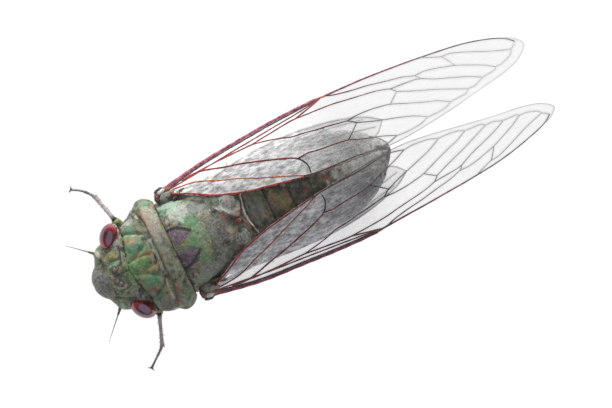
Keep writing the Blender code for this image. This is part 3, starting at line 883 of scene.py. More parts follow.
@dataclass
class BodyPart:
    """A length of the body: a skin with relief and markings over a row of rings.

    Each of the rows has aft, the half width, the top and the bottom, with heights over the belly.
    """

    name: str
    rows: Path
    finish: CuticleFinish
    stations: Points
    sides: int
    waist: float | None           # height of the widest level; without it, a share of the height
    upper_power: float            # 2 gives a round back or belly, and more a squarer one
    lower_power: float
    relief: Sequence[Crease | Swelling]
    markings: Sequence[Marking]
    bow: float = 0.0              # how far the first ring's sides lie back, and where that fades
    bow_fade: float = 4.0
    roughen: float = 0.03
    sway: Path = ((0.0, 0.0), (50.0, 0.0))   # how far the middle lies to the left
    waist_share: float = 0.55

    def outline(self, aft: Points) -> tuple[Points, Points, Points, Points]:
        """Read the outline at places along the body.

        Args:
            aft: the places.

        Returns:
            The half width, top, bottom and widest level at each.
        """
        half, top, bottom = (read_rows(self.rows, aft, column) for column in (1, 2, 3))
        if self.waist is None:
            return half, top, bottom, bottom + (top - bottom) * self.waist_share
        return half, top, bottom, np.full(np.shape(aft), self.waist)

    def back(self, x: Points, aft: Points) -> Points:
        """Find the back's height over the floor, without its relief.

        Args:
            x: how far out the places are.
            aft: how far back they are.

        Returns:
            The height at each place.
        """
        half, top, _, waist = self.outline(aft)
        share = np.clip(np.abs(x) / half, 0, 1) ** self.upper_power
        return BELLY + waist + (top - waist) * (1 - share) ** (1 / self.upper_power)

    def ring(self, aft: float) -> Points:
        """Draw one cross-section, its points set closer on the back than below.

        Args:
            aft: where it lies.

        Returns:
            Its (x, height) points.
        """
        half, top, bottom, waist = (float(value) for value in self.outline(np.array(aft)))
        angle = np.linspace(-math.pi / 2, 1.5 * math.pi, 1441)
        across, up = np.cos(angle), np.sin(angle)
        power = np.where(up >= 0, self.upper_power, self.lower_power)
        x = np.sign(across) * np.abs(across) ** (2 / power) * half
        z = waist + np.sign(up) * np.abs(up) ** (2 / power) * np.where(up >= 0, top - waist, waist - bottom)
        stride = np.hypot(np.diff(x), np.diff(z)) * np.where(z[1:] > waist, 2.4, 1.0)
        along = np.concatenate(([0], np.cumsum(stride)))
        wanted = np.arange(self.sides) * along[-1] / self.sides
        return np.stack((np.interp(wanted, along, x), np.interp(wanted, along, z)), -1)

    def bowed(self, x: Points) -> Points:
        """How far back the first ring lies at each x, in millimetres."""
        return self.bow * (np.sqrt(x * x + 1) - 1)

    def surface(self) -> tuple[Points, Points]:
        """Lay the rings out before any relief.

        Returns:
            The grid of places in millimetres, and how much each faces up, 0 to 1.
        """
        grid = np.array([self.ring(float(station)) for station in self.stations])
        x = grid[..., 0] + read_rows(self.sway, self.stations, 1)[:, None]
        z = grid[..., 1]
        aft = np.repeat(self.stations[:, None], self.sides, 1)
        _, top, _, waist = (value[:, None] for value in self.outline(self.stations))
        fade = np.clip(1 - (aft - self.stations[0]) / self.bow_fade, 0, 1)
        upward = ease((z - waist) / (top - waist) * 3.0)
        return np.stack((x, aft + self.bowed(x) * fade, z + BELLY), -1), upward

    def normals(self, grid: Points) -> Points:
        """Find the unit directions out of the skin.

        Args:
            grid: the skin's places.

        Returns:
            The direction at each.
        """
        around = np.roll(grid, -1, 1) - np.roll(grid, 1, 1)
        normal = np.cross(np.gradient(grid, axis=0), around)
        normal /= np.maximum(np.linalg.norm(normal, axis=-1), 1e-9)[..., None]
        outward = np.sign(((grid - grid.mean(axis=1, keepdims=True)) * normal).sum(-1, keepdims=True))
        return normal * np.where(outward == 0, 1, outward)

    def extra(self, grid: Points, upward: Points) -> Points:
        """Relief of a part's own, in millimetres; none by default."""
        return np.zeros(upward.shape)

    def skin(self) -> tuple[Points, Points, Paint]:
        """Work the relief and the markings.

        Returns:
            The finished grid in millimetres, its normals and its painted masks.
        """
        grid, upward = self.surface()
        x, aft = grid[..., 0], grid[..., 1]
        lift = sum((form.lift(x, aft) for form in self.relief), np.zeros(x.shape))
        lumps = GRIT(grid, 1.7) + 0.6 * GRIT(grid + 9.0, 3.9)
        lift = (lift + self.roughen * lumps) * upward + self.extra(grid, upward)
        normal = self.normals(grid)
        grid = grid + normal * lift[..., None]
        noise = edge_noise(grid)
        masks = bare_masks(x.shape)
        for marking in self.markings:
            name = marking.pigment.mask
            masks[name] = np.maximum(masks[name], marking.mask(x, aft, noise) * ease(upward * 1.5))
        masks["hollow"] = ease(-lift * 6.0)
        return grid, normal, masks

    def build(self, *nodes: str) -> None:
        """Build the part's skin, closed at both ends.

        Args:
            nodes: the solids that it stands for.
        """
        grid, _, masks = self.skin()
        order = [(0, scale) for scale in END_SCALES] + [(index, 1.0) for index in range(len(grid))]
        order += [(len(grid) - 1, scale) for scale in reversed(END_SCALES)]
        rings = []
        for index, scale in order:
            ring = grid[index]
            across, height = ring[:, 0].mean(), (ring[:, 2].max() + ring[:, 2].min()) / 2
            shrunk = ring.copy()
            shrunk[:, 0] = across + (ring[:, 0] - across) * scale
            shrunk[:, 2] = height + (ring[:, 2] - height) * scale
            if scale < 1 and self.bow and index == 0:
                shrunk[:, 1] = self.stations[0] + self.bowed(shrunk[:, 0]) - 0.12 * (1 - scale)
            rings.append(shrunk)
        picked = [index for index, _ in order]
        masks = {name: mask[picked] for name, mask in masks.items()}
        shape = Shape()
        shape.rings(at(*np.moveaxis(np.array(rings), -1, 0)), masks)
        shape.build(self.name, self.finish, Slot.SHELL, *nodes)


def ladder(start: float, end: float, step: float) -> Points:
    """Evenly spaced places from start to end, about a step apart."""
    return np.linspace(start, end, max(2, round((end - start) / step) + 1))


def ring_path(x: float, aft: float, half: float) -> Path:
    """The path of a flat ring around a place, a little shorter than wide."""
    return [(x + half * math.cos(turn * 0.7), aft + 0.75 * half * math.sin(turn * 0.7)) for turn in range(10)]


G, T, O, R, P, M, W, X, S, B = Pigment   # the markings' tables use these short names

HEAD = BodyPart(
    name="head_capsule",
    rows=[(0.5, 1.2, 5.9, 2.6), (0.8, 1.6, 6.3, 2.3), (1.2, 2.3, 6.8, 1.9), (1.6, 3.15, 7.2, 1.7),
        (2.05, 3.95, 7.75, 1.6), (2.8, 4.35, 8.3, 1.5), (3.7, 4.6, 8.9, 1.5), (4.55, 4.7, 9.25, 1.7),
        (5.6, 4.65, 9.3, 2.2), (6.5, 4.6, 8.7, 2.6)],
    finish=CuticleFinish("head_skin", contrast=0.4, mottle_scale=2000.0, bloom=0.22),
    stations=ladder(0.5, 6.5, 0.07), sides=300, waist=None, upper_power=2.2, lower_power=2.0,
    relief=[
        Crease([(0, 2.9), (0, 4.7)], 0.1, -0.14),
        Crease([(0.55, 2.5), (1.5, 2.75), (1.9, 3.4), (1.7, 4.3)], 0.16, -0.16),
        Crease([(2.2, 1.8), (2.6, 2.5), (3.1, 3.2)], 0.18, -0.2),
        Swelling(Spot(3.2, 2.1, 0.9, 0.45, 20), 0.25), Swelling(Spot(0.9, 3.3, 0.55, 0.5), 0.14),
        Swelling(Spot(0, 2.65, 0.4, 0.35), 0.12), Swelling(Spot(2.6, 3.6, 0.8, 0.8), 0.16),
    ],
    markings=[
        *spots(G, (0.5, 0.35, 2.9, 2.6, 1.3, 0.7, 10), (0.7, 0.35, -2.3, 3.5, 1.3, 1),
            (0.5, 0.35, 0.7, 1.9, 0.7, 0.35), (0.5, 0.9, 0.3, 4.5, 1.8, 0.5)),
        *spots(T, (0.45, 0.8, -1.6, 3.2, 0.7, 0.8)),
        *spots(O, (0.55, 0.8, -2.6, 2.8, 0.7, 0.6), (0.45, 0.35, 2.6, 3.1, 0.6, 0.5),
            (0.4, 0.35, -0.7, 1.9, 0.6, 0.3), (0.6, 0.35, -2.4, 3.9, 0.6, 0.5),
            (0.4, 0.35, -1.4, 4.3, 0.5, 0.3)),
        *spots(W, (0.3, 1.3, -1.35, 3.4, 0.25, 0.6), (0.3, 1.3, 1.6, 3.3, 0.25, 0.5)),
        *spots(W, (0.7, 1.3, 3.6, 4.7, 0.6, 0.35, -15), (0.25, 0.35, 3.5, 2.3, 0.7, 0.3), mirrored=True),
        *spots(B, (0.55, 0.9, 0, 3.3, 0.3, 0.8), (0.45, 1.4, 0.2, 4.2, 1.6, 0.35)),
        *spots(B, (0.95, 0.35, 3.3, 3.7, 0.35, 0.8, 25), (0.9, 0.9, 2.9, 5.1, 0.55, 0.3, 15), mirrored=True),
        *lines(B, (0.9, 0.8, 0.22, (-2.4, 2.1), (-1.9, 2.3), (-1.5, 2.1)),
            (0.75, 0.8, 0.18, (2.5, 1.9), (2, 2.2), (1.6, 2.2)),
            (0.95, 0.3, 0.1, (-1.2, 4.3), (-2, 4.6), (-3.2, 5)),
            (0.8, 0.35, 0.13, (1, 3), (0.55, 3.35), (0.95, 3.65), (1.4, 3.3), (1, 3)),
            (0.8, 0.35, 0.13, (-0.9, 2.9), (-0.4, 3.3), (-0.85, 3.75), (-1.3, 3.3), (-0.9, 2.9))),
    ])

PRONOTUM = BodyPart(
    name="pronotum_shield",
    rows=[(4.85, 5.5, 9.3, 1.5), (5.1, 5.65, 9.46, 1.2), (5.7, 5.9, 9.8, 1), (6.6, 6.15, 10.15, 0.9),
        (7.6, 6.5, 10.5, 0.9), (8.3, 6.85, 10.65, 0.9), (8.7, 7.05, 10.65, 0.9), (9.2, 7.3, 11.1, 0.9),
        (9.8, 7.3, 11.3, 0.8), (10.3, 7.1, 11.4, 0.7), (10.7, 6.8, 11.5, 0.6), (11.05, 6.4, 11.5, 0.6)],
    sway=[(4.85, 0.4), (6.6, 0.4), (8.0, 0.12), (11.05, 0.0)],
    finish=CuticleFinish(
        "pronotum_skin", contrast=0.45, mottle_scale=1300.0, bloom=0.1, light=(0.125, 0.14, 0.09),
        speckles=((3800, 0.58, 0.64, 0.4, (0.012, 0.012, 0.011)),
                  (3100, 0.62, 0.68, 0.25, (0.33, 0.32, 0.29)),
                  (9000, 0.62, 0.7, 0.35, (0.015, 0.015, 0.014)))),
    stations=ladder(4.85, 11.05, 0.06), sides=340, waist=6.1, upper_power=2.3, lower_power=1.8,
    relief=[
        Crease([(0.75, 5.2), (0.85, 6.6), (0.75, 7.8)], 0.2, -0.12),
        Crease([(1, 5.6), (1.45, 6.9), (2, 7.9), (2.6, 8.5)], 0.26, -0.17),
        Crease([(4.3, 5.5), (4.1, 6.4), (3.8, 7.2), (3.2, 8.3), (2.6, 8.6)], 0.28, -0.22),
        Crease([(0, 8.75), (2.5, 8.75), (4.5, 8.75), (6.3, 8.3)], 0.24, -0.28),
        Swelling(Spot(0, 6.4, 0.7, 1.5), 0.06), Swelling(Spot(2.75, 6.7, 1, 1.2, -12), 0.13),
        Swelling(Spot(5.1, 7.1, 0.9, 1.2), 0.12), Swelling(Spot(1.1, 8, 0.6, 0.5), 0.08),
        Crease([(0, 10.95), (6.3, 10.95)], 0.14, 0.07),
        Crease([(7.2, 9), (7.3, 9.8), (6.7, 10.7)], 0.16, 0.1),
    ],
    markings=[
        *spots(G, (0.3, 0.9, 0, 6.6, 5.2, 2.3), (0.7, 0.35, 0, 5.2, 1.6, 0.8),
            (0.6, 0.35, -3.6, 5.7, 1.6, 0.5, 12), (0.7, 0.7, 0, 6.2, 0.9, 2.1),
            (0.35, 0.35, 3.2, 6.6, 0.6, 1.1), (0.7, 0.35, -3.9, 6.9, 0.5, 0.9),
            (0.5, 0.35, 5.2, 6.1, 0.6, 0.4), (0.45, 0.35, 1.7, 7.7, 0.6, 0.8)),
        *spots(T, (0.65, 0.35, 2.4, 6.6, 0.7, 1.1), (0.75, 0.6, -2.3, 6.5, 0.8, 1.1),
            (0.8, 0.35, -4.4, 7, 0.6, 0.9), (0.6, 0.35, 4.6, 7, 0.4, 0.8, 15),
            (0.6, 0.35, -1.6, 7.6, 0.6, 0.8), (0.5, 0.35, -6.3, 9.8, 0.6, 0.9, -20),
            (0.3, 0.35, 6.6, 9.2, 0.4, 0.8)),
        *spots(O, (0.35, 0.35, 2, 5.3, 1.2, 0.5, -10), (0.45, 0.35, -1.2, 6.4, 0.5, 0.9),
            (0.35, 0.35, 1.1, 6.3, 0.4, 0.9), (0.7, 0.35, -3.1, 6.5, 0.55, 0.9, 10),
            (0.4, 0.35, -4.6, 8.1, 0.8, 0.4), (0.4, 0.35, 4.9, 7.5, 0.4, 0.4),
            (0.5, 0.35, -4.2, 9.6, 2.4, 0.8), (0.45, 0.35, -2.4, 10.8, 2.2, 0.25)),
        *spots(O, (0.55, 0.35, 0.9, 7.9, 0.6, 0.7), mirrored=True),
        *spots(R, (0.35, 0.35, 3.4, 6.6, 0.5, 0.9, 20), (0.55, 0.35, -4.4, 9.15, 1.5, 0.4),
            (0.45, 0.35, 0.4, 9.2, 0.6, 0.45), (0.35, 0.35, 4.7, 9.4, 0.8, 0.5, 20),
            (0.4, 0.35, 6.2, 8.5, 0.4, 0.4)),
        *spots(P, (0.35, 0.35, 3.6, 6.1, 0.6, 0.8)),
        *spots(W, (0.45, 0.35, -5.6, 7.2, 0.8, 0.9), (0.24, 0.5, -4, 9.9, 2.6, 0.9),
            (0.1, 0.8, -4, 7.1, 2.2, 1.3)),
        *spots(W, (0.5, 1.5, 4.9, 5.9, 0.8, 0.25, -16), mirrored=True),
        *spots(S, (0.6, 0.35, 5.6, 7, 0.8, 1.2), (0.4, 0.35, -1.8, 9.8, 3.2, 0.8)),
        *spots(B, (1, 0.9, 0, 8.45, 0.55, 0.22), (0.8, 0.9, 0.4, 8.2, 0.3, 0.25)),
        *spots(B, (0.95, 0.6, 2.9, 5.25, 0.5, 0.28, 15), mirrored=True),
        *lines(W, (0.35, 1.6, 0.08, (-4.2, 5.9), (-3.95, 6.6), (-3.65, 7.3)),
            (0.4, 1.7, 0.1, (-5.8, 8.3), (-4.4, 8.7), (-2.5, 8.65), (0, 8.7), (3, 8.5), (5.5, 8.3))),
        *lines(B, (0.9, 1.1, 0.16, (-5, 5.95), (-3, 5.45), (-1.2, 4.97), (0, 4.88), (1.2, 4.97), (3, 5.45),
            (5, 5.95)), (1, 0.2, 0.1, (-6.5, 11.05), (6.5, 11.05))),
        *lines(B, (0.4, 1, 0.13, (4.4, 5.8), (4.15, 6.5), (3.85, 7.2)),
            (0.25, 1, 0.14, (3.85, 7.2), (3.2, 8.3)), (0.25, 1, 0.12, (1, 5.9), (1.5, 6.9), (2.1, 7.9)),
            (0.95, 0.5, 0.15, (6.4, 11), (6.9, 10.6), (7.3, 9.9), (7.35, 9.3)), mirrored=True),
    ],
    bow=0.275)

THORAX = BodyPart(
    name="thorax_back",
    rows=[(10.6, 5.7, 11, 0.9), (11.35, 6.05, 11.25, 0.5), (12.2, 6.25, 11.6, 0.3), (13.5, 6.15, 11.9, 0.2),
        (15, 5.9, 11.8, 0.1), (16.5, 5.4, 11.5, 0.1), (17.8, 5.1, 11.2, 0.1), (18.6, 5, 11, 0.2),
        (19.3, 5, 10.9, 0.2), (20, 5, 10.5, 0.3), (20.65, 5, 9.9, 0.4), (21.3, 4.9, 9.2, 0.5)],
    finish=CuticleFinish(
        "thorax_skin", contrast=0.45, mottle_scale=1700.0, bloom=0.2, grain_depth=0.04,
        dark=(0.024, 0.028, 0.022), light=(0.125, 0.134, 0.105)),
    stations=ladder(10.6, 21.3, 0.07), sides=340, waist=6.2, upper_power=2.0, lower_power=2.2,
    relief=[
        Crease([(2.75, 11.3), (2.55, 12.2), (2, 13.3), (1.5, 13.8)], 0.14, -0.06),
        Crease([(0.15, 11.2), (0.5, 12.5), (1.1, 13.5)], 0.1, -0.06),
        Crease([(5.6, 11.6), (5.6, 13.5), (4.6, 16.3), (3.8, 17.8)], 0.3, -0.25),
        Crease([(0.2, 19.5), (1.3, 18.5), (2.3, 17.4)], 0.32, 0.42),
        Crease([(0.2, 19.5), (0.9, 20.1), (1.7, 20.6)], 0.3, 0.36),
        Swelling(Spot(0.2, 19.5, 0.75, 0.6), 0.3, False), Swelling(Spot(0, 18.4, 1.2, 0.9), -0.3),
        Swelling(Spot(2.1, 17.2, 0.42, 0.3, 25), -0.34), Swelling(Spot(2.5, 19.3, 1.1, 0.8), 0.3),
        Swelling(Spot(1.4, 19.6, 0.5, 0.35), -0.2), Swelling(Spot(0, 15.5, 2.6, 2.4), 0.12),
        Crease([(0, 20.65), (1.4, 20.8), (2.7, 21.2)], 0.1, 0.07),
        Crease([(0, 20.4), (1.4, 20.55), (2.6, 20.9)], 0.12, -0.12),
        *[Crease(ring_path(2.3, 19.2, half), 0.07, 0.09) for half in (0.35, 0.65, 0.95)],
    ],
    markings=[
        *spots(G, (0.7, 0.35, 0.15, 12.9, 0.7, 1.3), (0.7, 0.7, 2.4, 14.2, 1, 1.6, -12),
            (0.6, 0.8, -1.9, 14, 1.1, 1.2, 20), (0.5, 0.35, -0.2, 14.1, 0.7, 0.5),
            (0.45, 0.9, 0.3, 14.6, 3.4, 1.5)),
        *spots(T, (0.7, 0.35, 0.7, 13.6, 0.5, 0.6), (1, 0.35, -5.3, 12.8, 0.7, 1.6, 6),
            (0.45, 0.35, -3, 13.6, 0.9, 1), (0.7, 0.35, -4.9, 12.5, 1, 1.5, 8),
            (0.5, 0.35, -2.4, 14.6, 1.2, 0.8)),
        *spots(O, (0.5, 0.35, 0.2, 12, 0.25, 0.9), (0.5, 0.35, 3.1, 12.8, 0.4, 0.6),
            (0.4, 0.35, 4.2, 12.2, 0.5, 0.3), (0.55, 0.35, -2.7, 12.2, 0.3, 0.6),
            (0.4, 0.9, 1.5, 15.2, 1.4, 0.4, 30), (0.5, 0.35, 1.6, 13.5, 0.3, 0.35),
            (0.6, 0.35, 1, 18, 0.5, 0.6, 30), (0.6, 0.35, -0.8, 18.6, 0.6, 0.4)),
        *spots(R, (1, 0.5, 0.2, 19.45, 0.75, 0.7), (0.8, 0.35, -1, 18.1, 0.6, 0.4)),
        *spots(P, (1, 0.2, 1.75, 12, 1.25, 1.9, -8), (0.85, 0.2, -1.35, 12, 1.25, 1.7, 8),
            (0.35, 1.6, -2.2, 19.2, 0.8, 0.6)),
        *spots(M, (0.9, 0.35, 2.2, 17.25, 0.35, 0.3, 20), (0.8, 0.35, -1.85, 17.2, 0.35, 0.35, -20)),
        *spots(W, (0.28, 0.2, -5.2, 12.8, 0.7, 1.6, 6), (0.34, 0.5, -3.9, 13.2, 1.2, 1.7, 10),
            (0.1, 1.4, 0.2, 16.2, 1.7, 1.6), (0.55, 1.2, -2.4, 19.2, 1.5, 1.1),
            (0.25, 1.1, 2.5, 19.2, 1.1, 0.8)),
        *spots(S, (0.5, 0.35, 4.2, 14.2, 1.3, 2.4, -12), (0.6, 0.35, -3.4, 15.2, 1, 1.5, 15)),
        *spots(B, (0.45, 1.2, 1.5, 11.6, 0.9, 1), (0.6, 0.8, 2.2, 12.9, 0.5, 0.6),
            (0.6, 1.4, 2.2, 15.4, 1.3, 0.5, 20), (0.45, 1.5, -1.6, 15.6, 1.6, 0.6, -20),
            (0.5, 1.7, 0.3, 17, 2.2, 1.3), (0.55, 1.5, 0.1, 18.9, 1.3, 1), (0.7, 1.2, 0.2, 19.3, 1.1, 0.9),
            (0.7, 0.8, 1.3, 19.2, 0.5, 0.35), (0.6, 1.2, 0.4, 18.7, 0.8, 0.25)),
        *spots(B, (0.5, 1.5, 1.9, 17, 0.9, 0.7), mirrored=True),
        *lines(O, (0.6, 0.35, 0.25, (0.9, 18.9), (1.5, 18.3))),
        *lines(R, (0.7, 0.35, 0.22, (0.2, 19.5), (0.9, 20.1), (1.6, 20.5)),
            (0.7, 0.35, 0.2, (0.2, 19.5), (-0.7, 20.1), (-1.4, 20.5))),
        *lines(W, (0.8, 0.35, 0.09, (-2.4, 16.9), (-2.1, 17.6), (-1.6, 18))),
        *lines(W, (0.8, 0.4, 0.07, (0, 20.65), (1.4, 20.8), (2.7, 21.2)), mirrored=True),
        *lines(B, (1, 0.7, 0.3, (5.6, 14.3), (4.9, 15.6), (4.15, 17.2), (3.3, 18.7)),
            (0.9, 0.8, 0.22, (-5.7, 14.7), (-5, 16.1), (-4.2, 17.4), (-3.4, 18.8)),
            (1, 0.3, 0.2, (2.75, 11.1), (2.65, 12), (2.1, 13.1), (1.5, 13.85)),
            (1, 0.3, 0.2, (-2.35, 11.1), (-2.3, 12), (-1.9, 12.9), (-1.25, 13.7)),
            (0.6, 0.5, 0.09, (0.4, 11.1), (0.55, 12.3), (1.2, 13.5)),
            (0.4, 0.5, 0.08, (-0.1, 11.2), (-0.3, 12.4), (-1, 13.4))),
        *lines(B, (0.9, 0.35, 0.12, (0, 20.35), (1.4, 20.5), (2.8, 20.9)),
            (0.9, 0.35, 0.12, (0, 20.95), (1.4, 21.1), (2.7, 21.5)), mirrored=True),
        *lines(W, *((0.6, 1.0, 0.07, *ring_path(2.3, 19.2, half)) for half in (0.6, 1.1)), mirrored=True),
    ])


@dataclass
class Abdomen(BodyPart):
    """The abdomen, whose rings each overlap the next with a low step."""

    edges: Sequence[float] = (20.2, 22.1, 23.75, 26.7, 29.4, 32.2, 34.6, 36.7, 38.4, 40.2)
    overlap: float = 0.22
    fold: float = 0.08            # depth of the two folds along the back

    def extra(self, grid: Points, upward: Points) -> Points:
        """Let each ring rise gently to its rear margin, then step down.

        Args:
            grid: the skin's places.
            upward: how much each faces up.

        Returns:
            How far each moves outwards, in millimetres.
        """
        aft, x = grid[..., 1], grid[..., 0]
        half = self.outline(aft)[0]
        sink = np.zeros(aft.shape)
        for front, rear in zip(self.edges, self.edges[1:]):
            along = np.clip((aft - front) / (rear - front), 0, 1)
            sink = np.where((aft >= front) & (aft < rear), self.overlap * (1 - along ** 0.7), sink)
        slim = np.clip(half / 2, 0, 1) * (1 - 0.5 * step((26, 32), aft))
        return -(sink + self.fold * np.exp(-((np.abs(x) - half * 0.55) / 0.5) ** 2) * upward) * slim


ABDOMEN = Abdomen(
    name="abdomen_rings",
    rows=[(20.2, 5.6, 8.9, 0.6), (20.95, 6.3, 9.2, 0.2), (23.5, 6.5, 9.3, 0), (26, 6.4, 9.25, 0),
        (29, 6.1, 9, 0.1), (32, 5.7, 8.5, 0.4), (34.8, 5, 7.7, 1), (36.8, 4, 6.8, 1.8), (38.4, 2.8, 6, 2.6),
        (39.6, 1.4, 5.3, 3.4), (40.2, 0.5, 4.9, 3.9)],
    finish=CuticleFinish(
        "abdomen_skin", contrast=0.4, mottle_scale=1900.0, bloom=0.05, roughness=0.42, coat=0.1, tints=0.3,
        dark=(0.015, 0.013, 0.009), light=(0.104, 0.092, 0.055),
        speckles=((3800, 0.54, 0.6, 0.5, (0.01, 0.009, 0.008)),
                  (2300, 0.6, 0.68, 0.25, (0.22, 0.215, 0.2)))),
    stations=ladder(20.2, 40.2, 0.09), sides=300, waist=None, upper_power=2.0, lower_power=2.1,
    relief=[],
    markings=[
        *spots(G, (0.35, 0.35, -0.4, 22.9, 1.3, 0.5), (0.5, 1.2, -0.3, 25.3, 1.2, 0.6),
            (0.6, 0.8, -5.9, 23.8, 0.8, 2.2)),
        *spots(O, (0.6, 1.1, 0.3, 24.9, 1.6, 0.9), (0.8, 0.35, 1, 22.9, 0.6, 0.6),
            (0.7, 0.35, 0.7, 25.9, 0.7, 0.6)),
        *spots(R, (0.6, 0.35, -0.3, 26.3, 0.7, 0.3), (0.75, 0.35, 0.3, 31.5, 0.5, 0.6),
            (0.4, 0.35, 0.4, 28.6, 0.6, 0.5)),
        *spots(W, (0.9, 0.5, -5, 24.5, 2.6, 6.5), (0.5, 0.5, 4.6, 24.5, 2.4, 6.5),
            (1, 1.2, -4.2, 32.5, 2.6, 5.5), (0.75, 1.2, 4.2, 32, 2.1, 5), (1, 0.9, 0.3, 36, 3.8, 4.4),
            (0.35, 1.6, -0.85, 27.2, 0.3, 1.3, 27)),
        *spots(X, (0.9, 0.9, 3.8, 34.5, 3, 5.2), (0.55, 1, -2.6, 36.4, 3.2, 4)),
        *spots(S, (0.55, 0.7, 0, 37, 5.5, 6), (0.6, 0.6, 0, 22.2, 2.4, 1)),
        *spots(B, (0.6, 1.4, 1.9, 24.6, 1.5, 0.6), (0.6, 1.4, -1.6, 25.6, 1.5, 0.7),
            (0.7, 1.3, -0.4, 27.9, 1.6, 0.8), (0.6, 1.3, 1.6, 30.4, 1.6, 0.8)),
        *spots(B, (0.6, 1.5, 4.4, 31, 1.3, 1.2), (0.35, 1.5, 3.4, 34.6, 1.4, 1.4), mirrored=True),
        *lines(B, (0.8, 0.3, 0.11, (-1.9, 24.4), (-0.9, 26.4), (0.2, 28.5))),
        *lines(B, *((*look, 0.14, (0, edge + 0.02), (2, edge + 0.04), (3.6, edge + 0.04)) for edge, *look in (
            (22.1, 0.3, 1.5), (23.75, 0.95, 0.4), (26.7, 0.7, 0.8), (29.4, 0.5, 1.2), (32.2, 0.45, 1.5),
            (34.6, 0.35, 1.6), (36.7, 0.3, 1.6))), mirrored=True),
        *spots(B, *((0.45, 1.7, x, aft, 0.8, 0.5, 20 * x) for x, aft in (
            (-2.2, 31.6), (0.4, 33.4), (2.6, 32.4), (-1.2, 35.6), (1.9, 36.2), (-3.4, 34.2), (3.6, 35.2)))),
    ],
    roughen=0.02, sway=[(20.2, 0.0), (28.0, 0.15), (34.0, 0.33), (37.5, 0.3), (40.2, 0.0)])


@dataclass
class Face:
    """The bulging face plate with its cross ridges, the plates below it, and the simple eyes."""

    centre: Place = (0.0, 2.9, 7.6)
    halves: Place = (2.7, 2.87, 3.4)  # across, forward, up
    lower_half: float = 2.7
    ridges: int = 13
    ridge_height: float = 0.035
    groove: float = 0.05
    bead_radius: float = 0.23
    beads: Path = ((1.0, 3.35), (-0.8, 3.3), (0.1, 2.68))
    finish: CuticleFinish = CuticleFinish(
        "face_skin", contrast=0.5, mottle_scale=3200.0, bloom=0.15, roughness=0.45, grain_depth=0.03,
        tints=0.12, dark=(0.036, 0.036, 0.035), light=(0.13, 0.13, 0.12))

    def build_dome(self) -> None:
        """Build the face plate: half an egg, pointing forwards."""
        polar = np.linspace(0.03, 1.95, 110)[:, None]
        around = (np.arange(220) * 2 * math.pi / 220)[None, :]
        across = np.sin(polar) * np.cos(around)
        up = np.sin(polar) * np.sin(around)
        ahead = np.cos(polar) * np.ones_like(around)
        rise = np.arctan2(up, np.maximum(ahead, 0.02))
        wave = np.cos(rise * self.ridges * 2) * np.exp(-(np.abs(across) / 0.12) ** -2.0) * ease(ahead * 2.2)
        lift = self.ridge_height * wave - self.groove * np.exp(-(across / 0.07) ** 2) * ease(ahead * 2)
        reach = np.where(up > 0, self.halves[2], self.lower_half)
        grid = np.stack((self.centre[0] + across * (self.halves[0] + lift),
                         self.centre[1] - ahead * (self.halves[1] + lift),
                         self.centre[2] + up * (reach + lift)), -1)
        noise = edge_noise(grid)
        masks = bare_masks(noise.shape)
        masks["black"] = np.maximum(0.4 * ease(-wave * 1.2), 0.6 * ease((np.abs(across) - 0.82) * 5))
        masks["green"] = 0.12 * ease(noise + 0.5) * ease(up * 2)
        masks["grey"] = 0.45 * ease(0.6 - noise)
        masks["hollow"] = ease(-wave)
        shape = Shape()
        shape.rings(at(*np.moveaxis(grid, -1, 0)), masks)
        shape.build("face_plate", self.finish, Slot.SHELL)

    def build_mouth(self) -> None:
        """Build the plates between the face plate and the beak."""
        shape = Shape()
        shape.egg(at(0.0, 2.5, 4.75), (0.95, 1.15, 0.95))
        for _, sign in SIDES:
            shape.egg(at(1.35 * sign, 2.9, 5.0), (0.6, 1.3, 0.8), turned(-12 * sign))
        shape.build("mouth_plates", CuticleFinish("mouth_skin", contrast=0.5), Slot.SHELL)

    def build_beads(self) -> None:
        """Build the three simple eyes as low glassy beads on the crown."""
        shape = Shape()
        for x, aft in self.beads:
            crown = HEAD.back(np.array(x), np.array(aft))
            shape.egg(at(x, aft, crown + 0.06), (self.bead_radius,) * 3, rows=16)
        shape.build("simple_eyes", BeadFinish(), Slot.EYE)

    def build(self) -> None:
        """Build the face's pieces."""
        self.build_dome()
        self.build_mouth()
        self.build_beads()


